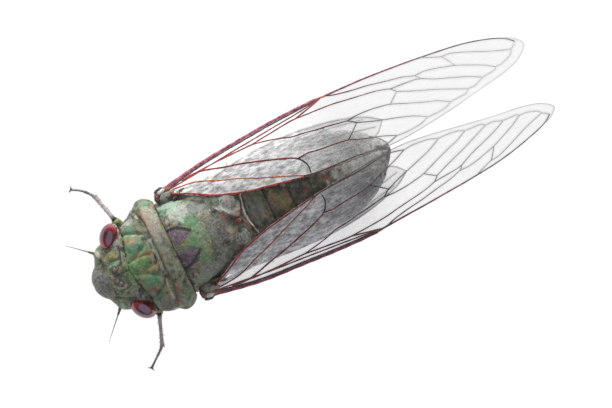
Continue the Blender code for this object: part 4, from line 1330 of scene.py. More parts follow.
@dataclass
class Eyes:
    """The two compound eyes, each with a dark rim where it meets the head."""

    centres: tuple[Place, Place] = ((4.86, 4.4, 9.9), (-4.72, 4.33, 9.9))
    halves: Place = (1.68, 1.14, 1.5)
    slant: float = 34.0
    rows: int = 64
    rim_finish: CuticleFinish = CuticleFinish(
        "rim_skin", dark=(0.012, 0.012, 0.012), light=(0.36, 0.34, 0.32), mottle_scale=3200.0)

    def build(self) -> None:
        """Build both eyes and their rims."""
        ways = ball(self.rows)
        girth = np.hypot(ways[..., 0], ways[..., 1])
        for (side, sign), centre in zip(SIDES, self.centres):
            turn = turned(self.slant * sign)
            middle = at(*centre)
            ring = ease((girth - 0.45) * 2.4) * (0.45 + 0.45 * ways[..., 1])
            rim = np.clip(ring + 0.5 * ease(-sign * ways[..., 0] * 1.5), 0, 1)
            shape = Shape()
            shape.egg(middle, self.halves, turn, self.rows, {"rim": rim})
            shape.build("eye_globe_" + side, EyeFinish(), Slot.EYE, "eye_" + side)
            self.build_rim(side, sign, turn, middle)

    def build_rim(self, side: str, sign: int, turn: Matrix, middle: Points) -> None:
        """Build the raised speckled rim where the head holds the eye.

        Args:
            side: left or right.
            sign: the sign of its x.
            turn: how the eye is turned.
            middle: the eye's middle, in metres.
        """
        angle = np.linspace(-0.25, math.pi + 0.25, 60)
        loop = np.stack((np.cos(angle) * self.halves[0], np.sin(angle) * self.halves[1] * 1.02,
                         -0.35 + 0.35 * np.sin(angle)), -1) * MM
        bulk = 0.06 + 0.16 * np.clip(np.sin(angle), 0, 1) ** 0.5
        shape = Shape()
        shape.tube(loop @ np.array(turn).T + middle, bulk, 10, 1.5,
                   {"black": 0.6 * ease(np.sin(angle * 9 + sign) * 1.5)})
        shape.build("eye_rim_" + side, self.rim_finish, Slot.SHELL)


@dataclass
class Feelers:
    """The two feelers: a thick root, a shorter second segment and a five-jointed bristle.

    Each of the joints has its share of the length and the radius there.
    """

    root: Place = (3.7, 1.85, 8.5)
    tips: tuple[tuple[float, float], ...] = ((6.9, -1.2), (6.1, -0.9))
    tip_height: float = 9.3
    sag: float = 0.12
    joints: Path = (
        (-0.06, 0.15), (0, 0.19), (0.02, 0.2), (0.09, 0.18), (0.1, 0.12), (0.11, 0.12), (0.12, 0.15),
        (0.2, 0.12), (0.215, 0.065), (0.22, 0.06), (0.24, 0.07), (0.4, 0.06), (0.405, 0.045), (0.41, 0.055),
        (0.56, 0.05), (0.565, 0.038), (0.57, 0.045), (0.72, 0.038), (0.725, 0.03), (0.73, 0.035),
        (0.99, 0.02), (1, 0.012))
    finish: LimbFinish = LimbFinish("feeler_skin", dark=(0.02, 0.014, 0.012), light=(0.08, 0.06, 0.052))

    def build(self) -> None:
        """Build both feelers."""
        shares, radii = np.array(self.joints).T
        for (side, sign), tip in zip(SIDES, self.tips):
            root = at(self.root[0] * sign, self.root[1], self.root[2])
            end = at(tip[0] * sign, tip[1], self.tip_height)
            bend = (np.sin(np.clip(shares, 0, 1) * math.pi) * self.sag * MM)[:, None] * UP
            shape = Shape()
            shape.tube(root + (end - root) * shares[:, None] + bend, radii, 12, 1.0,
                       {"ochre": np.where(shares < 0.12, 0.5, 0.0)})
            shape.build("feeler_" + side, self.finish, Slot.LEG, "antenna_" + side)


@dataclass
class Beak:
    """The jointed beak, folded back under the body."""

    bends: Path = ((0, 2.6, 3.75), (0, 3.4, 3.45), (0, 6.0, 3.2), (0, 9.5, 2.85), (0, 13.8, 2.35))
    joints: Path = ((0.28, 0.05), (0.6, 0.04))   # each one's share of the length and depth

    def build(self) -> None:
        """Build the beak with its joints and its darker tip."""
        line = smooth_path(self.bends, 0.25)
        along = np.linspace(0, 1, len(line))
        radii = 0.55 - 0.38 * along
        for share, depth in self.joints:
            radii = radii - depth * np.exp(-((along - share) / 0.015) ** 2)
        radii[0], radii[-1] = 0.35, 0.06
        shape = Shape()
        shape.tube(at(*line.T), radii, 16, 0.9, {"black": ease(along * 4 - 3)})
        shape.build("beak", LimbFinish("beak_skin"), Slot.LEG, "rostrum")


# Wings


ARCH_ROWS = [   # aft, height of the ridge, reach, and the inner and outer slopes in degrees
    (13, 15.4, 7.4, 7, 76), (16, 15.5, 7.85, 7, 78), (20, 15.3, 8.35, 7, 81),
    (27, 14.9, 9, 8, 81), (34, 14.4, 9.2, 14, 76), (41, 13.7, 8.95, 21, 67),
    (48, 12.9, 8.35, 27, 60), (55, 12.1, 7.5, 31, 56), (61, 11.4, 6.7, 33, 54),
]
LEFT_WING_SHIFT = 0.55        # how far further out the left wings' middle lies
SHIFTED_LENGTH = (14.0, 56.0)
LEFT_TIP_SHIFT = 1.05         # and their tips
TIP_LENGTH = (40.0, 56.0)
TIP_TURN = 0.19
LEFT_SQUEEZE = [   # aft, and how much further in the left front margin lies there
    (15, 0), (20, 0.22), (24, 0.5), (28, 0.62), (34, 0.69), (40, 0.88), (44, 0.74), (48, 0.34), (52, 0),
    (61, 0),
]
SQUEEZED_WIDTH = (3.0, 9.0)
# painted shade: the left wing's veins keep only this share of their red, amber and rose, as that side lies in
# shade
LEFT_VEIN_SHADE = 0.7               # how strong the left veins' colours are
# Each side's veil: its density, and from where to where it thickens towards the head
VEILS = {1: (0.85, (41.0, 27.0)), -1: (0.7, (40.0, 28.0))}
VEIL_FRONT = (4.8, 6.3)       # how far out the hindwings' veil thickens


def arch_place(out: Points, aft: Points, drop: Points, sign: int) -> Points:
    """Lay flat wing places on the arched sheet.

    Args:
        out: out from the middle line, in millimetres.
        aft: back from the face.
        drop: how far below the sheet.
        sign: 1 for the left wings and -1 for the right.

    Returns:
        The points, in metres.
    """
    out, aft, drop = np.broadcast_arrays(out, aft, drop)
    ridge, reach, slope_in, slope_out = (read_rows(ARCH_ROWS, aft, column) for column in (1, 2, 3, 4))
    slope_in, slope_out = np.radians(slope_in), np.radians(slope_out)
    radius = reach / (np.sin(slope_out) - np.sin(slope_in))
    angle = np.arcsin(np.clip(np.sin(slope_in) + out / radius, -0.3, 0.998))
    height = ridge - radius * (np.cos(slope_in) - np.cos(angle))
    shift = 0.0
    if sign > 0:
        start, end = SHIFTED_LENGTH
        shift = LEFT_WING_SHIFT * np.sin(math.pi * np.clip((aft - start) / (end - start), 0, 1))
        shift = shift + LEFT_TIP_SHIFT * step(TIP_LENGTH, aft) * (1 - TIP_TURN * out)
        start, end = SQUEEZED_WIDTH
        squeezed = np.clip((out - start) / (end - start), 0, 1) ** 1.5
        shift = shift - read_rows(LEFT_SQUEEZE, aft, 1) * squeezed
    return at((out - np.sin(angle) * drop + shift) * sign, aft, height - np.cos(angle) * drop)


@dataclass(frozen=True)
class Vein:
    """A vein: its flat path, its half width at both ends, and how coloured it is.

    Red is for its root and tip. Faint is how much it pales and thins towards the wing's tip.
    """

    path: Path
    root: float = 0.1
    tip: float = 0.07
    red: tuple[float, float] = (0.0, 0.0)
    amber: float = 0.0
    rose: float = 0.0
    faint: float = 1.0


@dataclass
class Wing:
    """A wing of one kind, made for both sides: the arched membrane and the veins on it."""

    kind: str
    front: Path
    hind: Path
    veins: Sequence[Vein]
    drop: float
    finish: MembraneFinish = MembraneFinish()
    membrane: float = 0.05
    pucker: float = 0.05
    smoke: float = 0.0                           # how much denser the front part is
    fading: tuple[float, float] = (34.0, 50.0)   # where along the body the veins begin and end to pale
    columns: int = 56
    stride: float = 0.16

    def edges(self, aft: Points) -> tuple[Points, Points]:
        """The hind and front margin at places along the wing."""
        margins = (self.hind, self.front)
        return tuple(np.interp(aft, *smooth_path(margin, 0.4)[:, ::-1].T) for margin in margins)

    @staticmethod
    def sheet_faces(rows: int, columns: int) -> list[tuple[int, ...]]:
        """List the faces of two sheets of points and of the rim that joins them.

        Args:
            rows: rows of points in each sheet.
            columns: points in each row.

        Returns:
            The faces' corner numbers.
        """
        count = rows * columns
        first = np.arange(rows - 1)[:, None] * columns + np.arange(columns - 1)
        quads = np.stack((first, first + 1, first + columns + 1, first + columns), -1).reshape(-1, 4)
        rim = np.concatenate((np.arange(columns), np.arange(2, rows) * columns - 1,
                              np.arange(count - 1, count - columns - 1, -1),
                              np.arange(rows - 2, 0, -1) * columns))
        after = np.roll(rim, -1)
        around = np.stack((rim, after, after + count, rim + count), -1)
        return [tuple(face) for face in np.concatenate((quads, quads + count, around)).tolist()]

    def build_membrane(self, side: str, sign: int) -> None:
        """Build the membrane, puckered between the veins and thin all over.

        Args:
            side: left or right.
            sign: the sign of its x.
        """
        aft = ladder(self.front[0][1], self.front[-1][1] - 0.02, self.stride)[:, None]
        hind, front = self.edges(aft[:, 0])
        share = (0.5 - 0.5 * np.cos(np.linspace(0, math.pi, self.columns)))[None, :]
        out = hind[:, None] + (front - hind)[:, None] * share
        aft = np.broadcast_to(aft, out.shape)
        away = np.full(out.shape, 9.0)
        for vein in self.veins:
            away = np.minimum(away, distance_to(smooth_path(vein.path, 0.5), out, aft))
        bulge = self.pucker * ease(away / 1.2)
        drops = [self.drop - bulge + half * self.membrane / 2 for half in (-1, 1)]
        sheets = [arch_place(out, aft, drop, sign) for drop in drops]
        density, thinning = VEILS[sign]
        veil = density * step(thinning, aft) * (1 + self.smoke * step(VEIL_FRONT, out))
        paint = {"edge": ease(1 - away / 0.3), "milk": veil}
        shape = Shape()
        shape.add(np.array(sheets), self.sheet_faces(*out.shape),
                  {name: np.tile(value.ravel(), 2) for name, value in paint.items()})
        shape.build(f"{self.kind}_membrane_{side}", self.finish, Slot.WING, f"{self.kind}_{side}")

    def build_veins(self, side: str, sign: int) -> None:
        """Build the veins as slightly flattened tubes that follow the membrane.

        Args:
            side: left or right.
            sign: the sign of its x.
        """
        # painted shade: on the left wing the veins' red, amber and rose are weakened, as that side lies in
        # shade
        vein_shade = LEFT_VEIN_SHADE if sign > 0 else 1.0
        shape = Shape()
        for vein in self.veins:
            line = smooth_path(vein.path, 0.35)
            out, aft = line.T
            along = np.linspace(0, 1, len(line))
            far = vein.faint * step(self.fading, aft)
            radii = vein.root + (vein.tip - vein.root) * along
            radii = radii * (1 + 0.08 * np.sin(aft * 3.1 + out)) * (1 - 0.28 * far)
            paint = {"red": (vein.red[0] + (vein.red[1] - vein.red[0]) * along) * vein_shade,
                     "amber": np.full(len(line), vein.amber * (vein_shade - 0.6) / 0.4),
                     "rose": vein.rose * vein_shade * step((49.0, 45.0), aft), "faint": far}
            shape.tube(arch_place(out, aft, self.drop - self.membrane, sign), radii, 8, 0.8, paint)
        shape.build(f"{self.kind}_veins_{side}", VeinFinish(), Slot.WING)

    def build(self) -> None:
        """Build the pair."""
        for side, sign in SIDES:
            self.build_membrane(side, sign)
            self.build_veins(side, sign)


FOREWING = Wing(
    kind="forewing",
    front=[(7.1, 11.9), (7.25, 13.2), (7.8, 16.9), (8.2, 19.9), (8.5, 22.9), (8.8, 26.9), (9, 30.9),
        (9.05, 33.9), (8.9, 37.9), (8.45, 44.9), (7.95, 49.9), (7.1, 54.9), (6.45, 57.2), (5.8, 58.9),
        (5.2, 59.8), (4.6, 60.4), (4.2, 60.58)],
    hind=[(6.6, 11.9), (6.42, 13), (5.2, 15.4), (3.7, 18.2), (2.3, 22.4), (1, 29.1), (0.3, 35.5), (-0.02, 40),
        (0.1, 43.9), (0.8, 49.9), (1.4, 52.9), (1.8, 55.9), (2.4, 58.3), (3.1, 59.6), (3.7, 60.3),
        (4.2, 60.58)],
    veins=[
        Vein([(7, 12.2), (7.15, 13.6), (7.7, 16.9), (8.1, 19.9), (8.7, 26.9), (8.9, 31), (8.95, 34.4)], 0.28,
            0.21, (0.4, 0.4), rose=1),
        Vein([(9, 34.5), (8.95, 35.1), (8.88, 35.7)], 0.13, 0.12, amber=1),
        Vein([(6.85, 12.5), (6.92, 13.8), (7.5, 17), (7.9, 20), (8.48, 27), (8.7, 31), (8.83, 34.4)], 0.12,
            0.09),
        Vein([(6.75, 12.6), (6.9, 15.2), (7.2, 18.5), (7.6, 22.5), (8, 27), (8.4, 31.5), (8.8, 34.8)], 0.1,
            0.09, (0.9, 0.5)),
        Vein([(8.95, 34.2), (8.85, 38), (8.75, 40.9), (8.45, 44.9), (8.15, 47.9), (7.6, 52.4), (7.1, 54.9),
            (6.4, 57.2), (5.7, 58.7), (4.9, 59.6)], 0.12, 0.065, (0.2, 0), rose=0.8, faint=0.25),
        Vein([(6.5, 12.8), (6, 13.9), (5.1, 15.9), (3.8, 18.2), (3, 20.4), (2.4, 22.4), (2, 24.4),
            (1.6, 26.4), (1.2, 28.4), (1, 29.1)], 0.11, 0.08, (1, 0.6)),
        Vein([(6.6, 13.3), (6.6, 13.9), (6.2, 16.9), (5.2, 19.4), (4.3, 21.9), (3.4, 23.9), (2.8, 25.4),
            (1.6, 28.4), (1.2, 29.1)], 0.09, 0.07, (0.3, 0.3), amber=0.8),
        Vein([(7.05, 15.4), (7.2, 17.4), (6.9, 18.9), (6.3, 20.9), (5.8, 22.9), (5, 25.4), (4.3, 27.4),
            (3.7, 28.9), (3.4, 29.4)], 0.12, 0.1, (0.8, 0.4)),
        Vein([(3.4, 29.4), (2.8, 29.9), (2, 30.2), (1.2, 30.1)], 0.09, 0.075),
        Vein([(3.4, 29.4), (3.5, 30.9), (3.3, 31.9), (3.1, 33.9), (2.8, 35.9), (2.2, 37.4), (1.8, 38.7),
            (1.3, 40.2), (0.7, 41.6)], 0.08, 0.055, (0.4, 0.1)),
        Vein([(1.2, 29.1), (0.9, 30.4), (0.8, 31.9), (0.7, 33.9), (0.6, 35.9), (0.3, 38.4), (0.3, 39.9),
            (0.7, 41.6)], 0.09, 0.07, (0.15, 0)),
        Vein([(7.15, 16.5), (7.35, 20.9), (7.35, 25.1)], 0.11, 0.1, (0.9, 0.7)),
        Vein([(7.35, 25.1), (7, 26.9), (6.6, 28.4), (6.1, 29.9), (5.9, 31.4), (5.6, 32.9), (5.4, 34.4),
            (5.1, 35.9), (4.9, 36.9), (4.25, 37.8)], 0.08, 0.065, (0.6, 0.1)),
        Vein([(2.8, 36), (3.5, 36.9), (4.25, 37.8)], 0.07, 0.065),
        Vein([(4.25, 37.8), (3.4, 40.1), (2.7, 42.4), (2, 44.4), (1.2, 45.9)], 0.07, 0.05),
        Vein([(4.93, 36.9), (5.05, 37.9), (5, 39.7), (4.8, 41.1), (4.5, 42.5), (3.6, 44.7), (2.9, 46.5),
            (2.4, 47.9), (1.6, 49.3)], 0.07, 0.05),
        Vein([(4.5, 42.5), (5, 43.1), (5.6, 43.9)], 0.065, 0.065),
        Vein([(7.35, 25.1), (7.5, 26.4), (7.7, 28.4), (7.9, 30.4), (7.9, 31.2)], 0.1, 0.1, (0.7, 0.6)),
        Vein([(7.9, 31.2), (8.3, 32.9), (8.7, 34.4), (8.95, 35.2)], 0.1, 0.1, (0.5, 0.5)),
        Vein([(7.9, 31.2), (7.8, 32.9), (7.6, 35.9), (7.3, 37.9), (7, 39.9), (6.7, 41.7), (6.2, 43.3),
            (5.6, 43.9), (4.7, 45.9), (3.8, 48.2), (2.9, 50.2), (2.1, 51.9)], 0.08, 0.055, (0.4, 0)),
        Vein([(6.2, 43.3), (6.1, 44.9), (5.95, 46.4), (5.75, 47.2), (4.9, 48.9), (4.1, 51), (3.4, 52.7),
            (2.7, 54)], 0.09, 0.07),
        Vein([(8.9, 35.7), (8.5, 36.9), (8.1, 38.9), (7.8, 40.9), (7.3, 43.2), (6.9, 45.2), (6.4, 46.7),
            (6.4, 47.9), (6.1, 49.4), (5.8, 50.4), (5.4, 51.7), (4.6, 53.5), (3.9, 54.9), (3.1, 56.1)], 0.08,
            0.055, (0.3, 0)),
        Vein([(6.4, 46.7), (6.1, 47), (5.75, 47.2)], 0.065, 0.065),
        Vein([(5.4, 51.7), (6.2, 51.3), (7.1, 50.7)], 0.065, 0.065),
        Vein([(8.2, 48.1), (7.6, 49.4), (7.1, 50.7), (7, 51.8), (6.2, 53.9), (5.3, 55.9), (4.7, 57.4),
            (4.2, 58.8)], 0.07, 0.05),
        Vein([(0.7, 41.6), (0.6, 42.9), (0.75, 44.9), (1.1, 45.9), (1.1, 47.4), (1.3, 48.7), (1.6, 49.3),
            (1.7, 51.4), (2.1, 51.9), (2.1, 52.9), (2.6, 54.1), (2.8, 55.9), (3.1, 56.2), (3.1, 56.9),
            (3.6, 58.3), (4.2, 58.8), (4.6, 59.3), (4.9, 59.6)], 0.045, 0.04),
        Vein([(6.5, 12.9), (6.4, 13.3), (5.2, 15.6), (3.65, 18.4), (2.3, 22.6), (1.05, 29.1), (0.35, 35.5)],
            0.08, 0.04, (0.9, 0.3)),
        Vein([(0.35, 35.5), (0.03, 40), (0.13, 43.9), (0.83, 49.9), (1.83, 55.9), (2.42, 58.3), (3.12, 59.6),
            (3.7, 60.25), (4.2, 60.53), (4.6, 60.36), (5.2, 59.78), (5.8, 58.88)], 0.035, 0.03),
    ],
    drop=0.0)

HINDWING = Wing(
    kind="hindwing",
    front=[(6.35, 17.3), (7.1, 21), (7.6, 26), (7.4, 31), (6.6, 35.5), (5.4, 39), (3.9, 40.9)],
    hind=[(5.9, 17.3), (4.2, 19.8), (2.8, 23), (1.9, 27), (1.4, 31), (1.5, 36), (2.3, 39.4), (3.9, 40.9)],
    veins=[
        Vein([(6.2, 17.6), (6.95, 21.2), (7.4, 26), (7.2, 31), (6.4, 35.4), (5.2, 38.8), (3.9, 40.7)], 0.1,
            0.05, (0.6, 0)),
        Vein([(6.1, 18), (5.9, 22.6), (5.5, 28), (4.6, 34), (3.4, 39.6)], 0.08, 0.05, (0.5, 0)),
        Vein([(5.5, 28), (5.9, 33), (5, 38.6)], 0.06, 0.05),
        Vein([(6.4, 22.6), (6.6, 28), (6.2, 34), (5.6, 37.6)], 0.06, 0.05),
        Vein([(5.8, 18.4), (4.6, 22.6), (3.6, 28), (2.6, 34), (2.2, 38.6)], 0.08, 0.05, (0.5, 0)),
        Vein([(5.6, 18.2), (3.6, 22.6), (2.6, 28), (1.9, 34)], 0.07, 0.05, (0.4, 0)),
        Vein([(5.9, 17.5), (4.25, 19.9), (2.85, 23), (1.95, 27), (1.45, 31), (1.55, 36), (2.35, 39.3),
            (3.9, 40.8)], 0.05, 0.04),
    ],
    drop=1.05, smoke=0.9, fading=(22.0, 38.0),
    finish=MembraneFinish("smoky_membrane", milk=0.52, milk_colour=(0.22, 0.22, 0.225)))


@dataclass
class Plates:
    """Lumpy plates on both sides of the body.

    Each plate has its place, its half sizes, its slant in degrees and its pigments. Each of the lumps has
    its height, its scale and where in the noise it starts.
    """

    name: str
    finish: CuticleFinish
    rows: int
    lumps: Path
    plates: Sequence[tuple]

    def dent(self, ways: Points) -> Points:
        """Uneven lumps over a plate, in millimetres, from unit directions."""
        return sum(height * GRIT(ways * scale + start, 1.0) for height, scale, start in self.lumps)

    def build(self) -> None:
        """Build both sides."""
        for side, sign in SIDES:
            shape = Shape()
            for (x, aft, z), halves, slant, paint in self.plates:
                size = (self.rows, self.rows * 2)
                masks = {pigment.mask: np.full(size, share) for pigment, share in paint.items()}
                shape.egg(at(x * sign, aft, z), halves, turned(slant * sign), self.rows, masks, self.dent)
            shape.build(self.name + side, self.finish, Slot.SHELL)


# The plates on the sides of the thorax, then the covers and the lids over the sound organs
FLANKS = Plates("flank_plates_", CuticleFinish("flank_skin", bloom=0.25), 40, [(0.06, 3, 7)], [
    ((4.55, 13.6, 6.6), (1.45, 1.7, 2.7), -6, {G: 0.4, W: 0.2}),
    ((4.55, 16.7, 6.9), (1.45, 1.7, 2.5), -4, {S: 0.5, G: 0.3, W: 0.15}),
    ((4.75, 19.4, 7.2), (1.45, 1.8, 2.3), 4, {S: 0.4, W: 0.35}),
    ((5, 21.9, 8.6), (1.25, 1.6, 1.7), 8, {W: 0.8, S: 0.3}),
    ((2.55, 21.6, 3.15), (2.15, 2.7, 0.42), -6, {W: 0.5, O: 0.2}),
])

# The hinge plates and the folded red skin at the base of each forewing
ROOT_LUMPS = [(0.07, 2.0, 3.0), (0.04, 5.0, 0.0)]
WING_ROOTS = Plates("wing_root_", CuticleFinish("root_skin", bloom=0.3), 20, ROOT_LUMPS, [
    ((6.05, 12.75, 10.6), (0.95, 1.25, 0.95), -8, {S: 0.6, G: 0.3}),
    ((6.55, 11.75, 11.2), (0.62, 0.34, 0.34), 14, {M: 1.0}),
    ((6.95, 12.45, 11.1), (0.3, 0.62, 0.36), -12, {W: 0.75}),
    ((7.28, 12.25, 10.7), (0.26, 0.62, 0.42), -10, {B: 0.9}),
    ((6.3, 13.35, 11.45), (0.34, 0.75, 0.3), -16, {P: 0.6, W: 0.2}),
    ((5.75, 14.3, 11.9), (0.3, 1.1, 0.34), -24, {B: 0.8}),
    ((6.85, 13.25, 11), (0.3, 0.55, 0.3), -10, {R: 0.8}),
])


# Legs


@dataclass(frozen=True)
class LegSizes:
    """The sizes of one pair of legs; ankles and toes are given for the left leg and for the right."""

    root: tuple[Place, Place]
    knee: Place
    ankles: tuple[Place, Place]
    toes: tuple[tuple[float, float], ...]
    femur: float = 0.56
    spines: int = 0


LEGS = {
    "front": LegSizes(((2.7, 7.3, 3.95), (3, 6.8, 2.7)), (6.4, 5.85, 5.9),
                      ((10.15, 4.4, 0.75), (10, 4.85, 0.75)), ((12.07, 2), (12.1, 2.5)), 0.72, 3),
    "mid": LegSizes(((3.1, 12.9, 3.3), (3.4, 13.2, 2.2)), (6.3, 14.2, 5),
                    ((6, 18.4, 0.75),) * 2, ((6.35, 21.2),) * 2),
    "hind": LegSizes(((2.9, 17.9, 3.2), (3.2, 18.4, 2.2)), (5.7, 23.2, 3.4),
                     ((5, 31, 0.75),) * 2, ((5.4, 33.9),) * 2),
}


@dataclass
class Leg:
    """One leg: coxa, femur, tibia with its spurs and bristles, and a three-jointed foot with two claws.

    Each of the foot's rings has its share of the length and its width against the foot's half width.
    """

    name: str
    sign: int
    sizes: LegSizes
    coxa_radius: float = 0.85
    tibia_radius: float = 0.3
    foot_half: float = 0.19
    claw: float = 0.4
    bow: float = 0.24
    bristles: int = 46
    foot_rings: Path = (
        (0.02, 0.4), (0.06, 0.9), (0.15, 0.95), (0.22, 0.9), (0.24, 0.62), (0.27, 0.9), (0.38, 0.92),
        (0.46, 0.88), (0.48, 0.6), (0.52, 0.72), (0.7, 0.7), (0.9, 0.85), (0.98, 0.95), (1, 0.5))
    skin: LimbFinish = LimbFinish("leg_skin")
    shin_skin: LimbFinish = LimbFinish("shin_skin", dark=(0.085, 0.07, 0.067), light=(0.2, 0.175, 0.17))
    foot_skin: LimbFinish = LimbFinish("foot_skin", dark=(0.07, 0.065, 0.065), light=(0.2, 0.19, 0.19))

    def place(self, x: float, aft: float, z: float) -> Points:
        """A point on the leg's own side, in metres."""
        return at(x * self.sign, aft, z)

    def build_coxa(self) -> Points:
        """Build the leg's thick root.

        Returns:
            Its lower end.
        """
        top, end = (self.place(*point) for point in self.sizes.root)
        shares = np.linspace(-0.35, 1.0, 14)[:, None]
        radii = self.coxa_radius * (1 - 0.22 * np.abs(shares[:, 0] - 0.3))
        radii[0], radii[-1] = 0.3, 0.35
        shape = Shape()
        shape.tube(top + (end - top) * shares, radii, 20)
        shape.build(self.name + "_root", self.skin, Slot.LEG, self.name + "_coxa")
        return end

    def build_femur(self, root: Points) -> Points:
        """Build the thigh, with spines below on the front legs.

        Args:
            root: the coxa's lower end.

        Returns:
            The knee.
        """
        knee = self.place(*self.sizes.knee)
        shares = np.linspace(0.0, 1.0, 30)
        swell = np.sin(math.pi * np.clip(shares * 0.9 + 0.08, 0, 1)) ** 0.8
        radii = self.sizes.femur * (0.55 + 0.5 * swell)
        radii[0], radii[-1] = 0.25, 0.25
        paint = {"green": 0.7 * ease(shares * 3 - 1.2), "ochre": 0.35 * ease(shares * 4 - 3),
                 "black": 0.7 * ease(1 - shares * 4)}
        shape = Shape()
        shape.tube(root + (knee - root) * shares[:, None], radii, 20, 1.15, paint)
        run = unit(knee - root)
        below = np.cross(run, np.cross(-UP, run))
        for index in range(self.sizes.spines):
            base = root + (knee - root) * (0.35 + 0.2 * index)
            tip = base + below * (1.5 - 0.2 * index) * MM - run * 0.3 * MM
            shape.tube(np.array([base, base + (tip - base) * 0.6, tip]), (0.26, 0.14, 0.03), 8)
        shape.build(self.name + "_thigh", self.skin, Slot.LEG, self.name + "_femur")
        return knee

    def build_tibia(self, knee: Points, rng: np.random.Generator) -> Points:
        """Build the shin with its spurs and bristles.

        Args:
            knee: where it starts.
            rng: draws where the bristles stand.

        Returns:
            The ankle.
        """
        ankle = self.place(*self.sizes.ankles[self.sign < 0])
        run = unit(ankle - knee)
        start = knee - run * 0.1 * MM
        shares = np.linspace(0, 1, 40)
        radii = self.tibia_radius * (1.2 - 0.4 * np.sin(math.pi * shares) ** 0.5 - 0.12 * shares)
        radii[0], radii[-1] = 0.25, 0.2
        bend = (np.sin(math.pi * shares) * 0.1 * MM)[:, None] * UP
        shape = Shape()
        shape.tube(start + (ankle - start) * shares[:, None] + bend, radii, 14, 1.0,
                   {"black": 0.8 * ease(1 - shares * 5)})
        across = unit(np.cross(run, UP))
        for side in (-1, 1):
            base = ankle - run * 0.2 * MM + across * side * 0.15 * MM
            tip = base + run * 0.48 * MM + across * side * 0.18 * MM
            spur = np.array([base, (base + tip) / 2, tip])
            shape.tube(spur, (0.1, 0.07, 0.02), 6, 1.0, {"black": np.ones(3)})
        for _ in range(self.bristles):
            share, angle = rng.random() * 0.9 + 0.08, rng.random() * 2 * math.pi
            out = across * math.cos(angle) + np.cross(across, run) * math.sin(angle)
            base = start + (ankle - start) * share + out * self.tibia_radius * 0.75 * MM
            tip = base + (out * 0.22 + run * 0.26) * MM
            shape.tube(np.array([base, base * 0.45 + tip * 0.55, tip]), (0.022, 0.016, 0.004), 4)
        shape.build(self.name + "_shin", self.shin_skin, Slot.LEG, self.name + "_tibia")
        return ankle

    def build_foot(self, ankle: Points) -> None:
        """Build the three-jointed foot, flat below, and its pair of hooked claws.

        Args:
            ankle: where the shin ends.
        """
        heel = np.array((ankle[0], ankle[1], FLOOR_Z))
        toe = self.place(*self.sizes.toes[self.sign < 0], 0.0)
        run = unit(toe - heel)
        across = np.cross(run, UP)
        shares, widths = np.array(self.foot_rings).T
        widths = widths * self.foot_half
        lifts = widths * 0.92
        lifts[0:2] = self.foot_half * 1.2
        bow = across * (np.sin(shares * math.pi) * self.bow * (self.sign < 0))[:, None] * MM
        shape = Shape()
        shape.tube(heel + (toe - heel) * shares[:, None] + bow + UP * lifts[:, None] * MM, widths, 14, 0.9,
                   {"black": 0.35 * np.isin(np.arange(14), (4, 8))})
        shape.tube(np.array([heel + UP * 0.12 * MM, (heel + ankle) / 2, ankle]), (0.15, 0.19, 0.16), 10)
        share = np.linspace(0, 1, 10)[:, None]
        rise = 0.24 + 0.16 * np.sin(share * 2.6) - 0.22 * share ** 2
        ahead = self.claw * (share - 0.9 * share ** 3) - 0.1
        for side in (-1, 1):
            hook = toe + (UP * rise + run * ahead + across * side * (0.08 + 0.4 * share)) * MM
            shape.tube(hook, 0.1 * (1 - 0.85 * share[:, 0]), 8, 1.0, {"black": np.full(10, 0.7)})
        shape.build(self.name + "_foot", self.foot_skin, Slot.LEG, self.name + "_tarsus")

    def build(self, rng: np.random.Generator) -> None:
        """Build the whole leg, with bristles that rng places."""
        knee = self.build_femur(self.build_coxa())
        self.build_foot(self.build_tibia(knee, rng))


# Hairs


HAIR_FACES = ((2, 1, 0), (0, 1, 4, 3), (1, 2, 5, 4), (2, 0, 3, 5), (3, 4, 6), (4, 5, 6), (5, 3, 6))
HAIR_CORNERS = ((0.0, 0.0), (0.003, 0.0), (0.0015, 0.002), (0.0005, 0.001), (0.0025, 0.001), (0.0015, 0.0028),
                (0.0015, 0.0015))   # where a hair's seven points lie in its patch of the unwrap


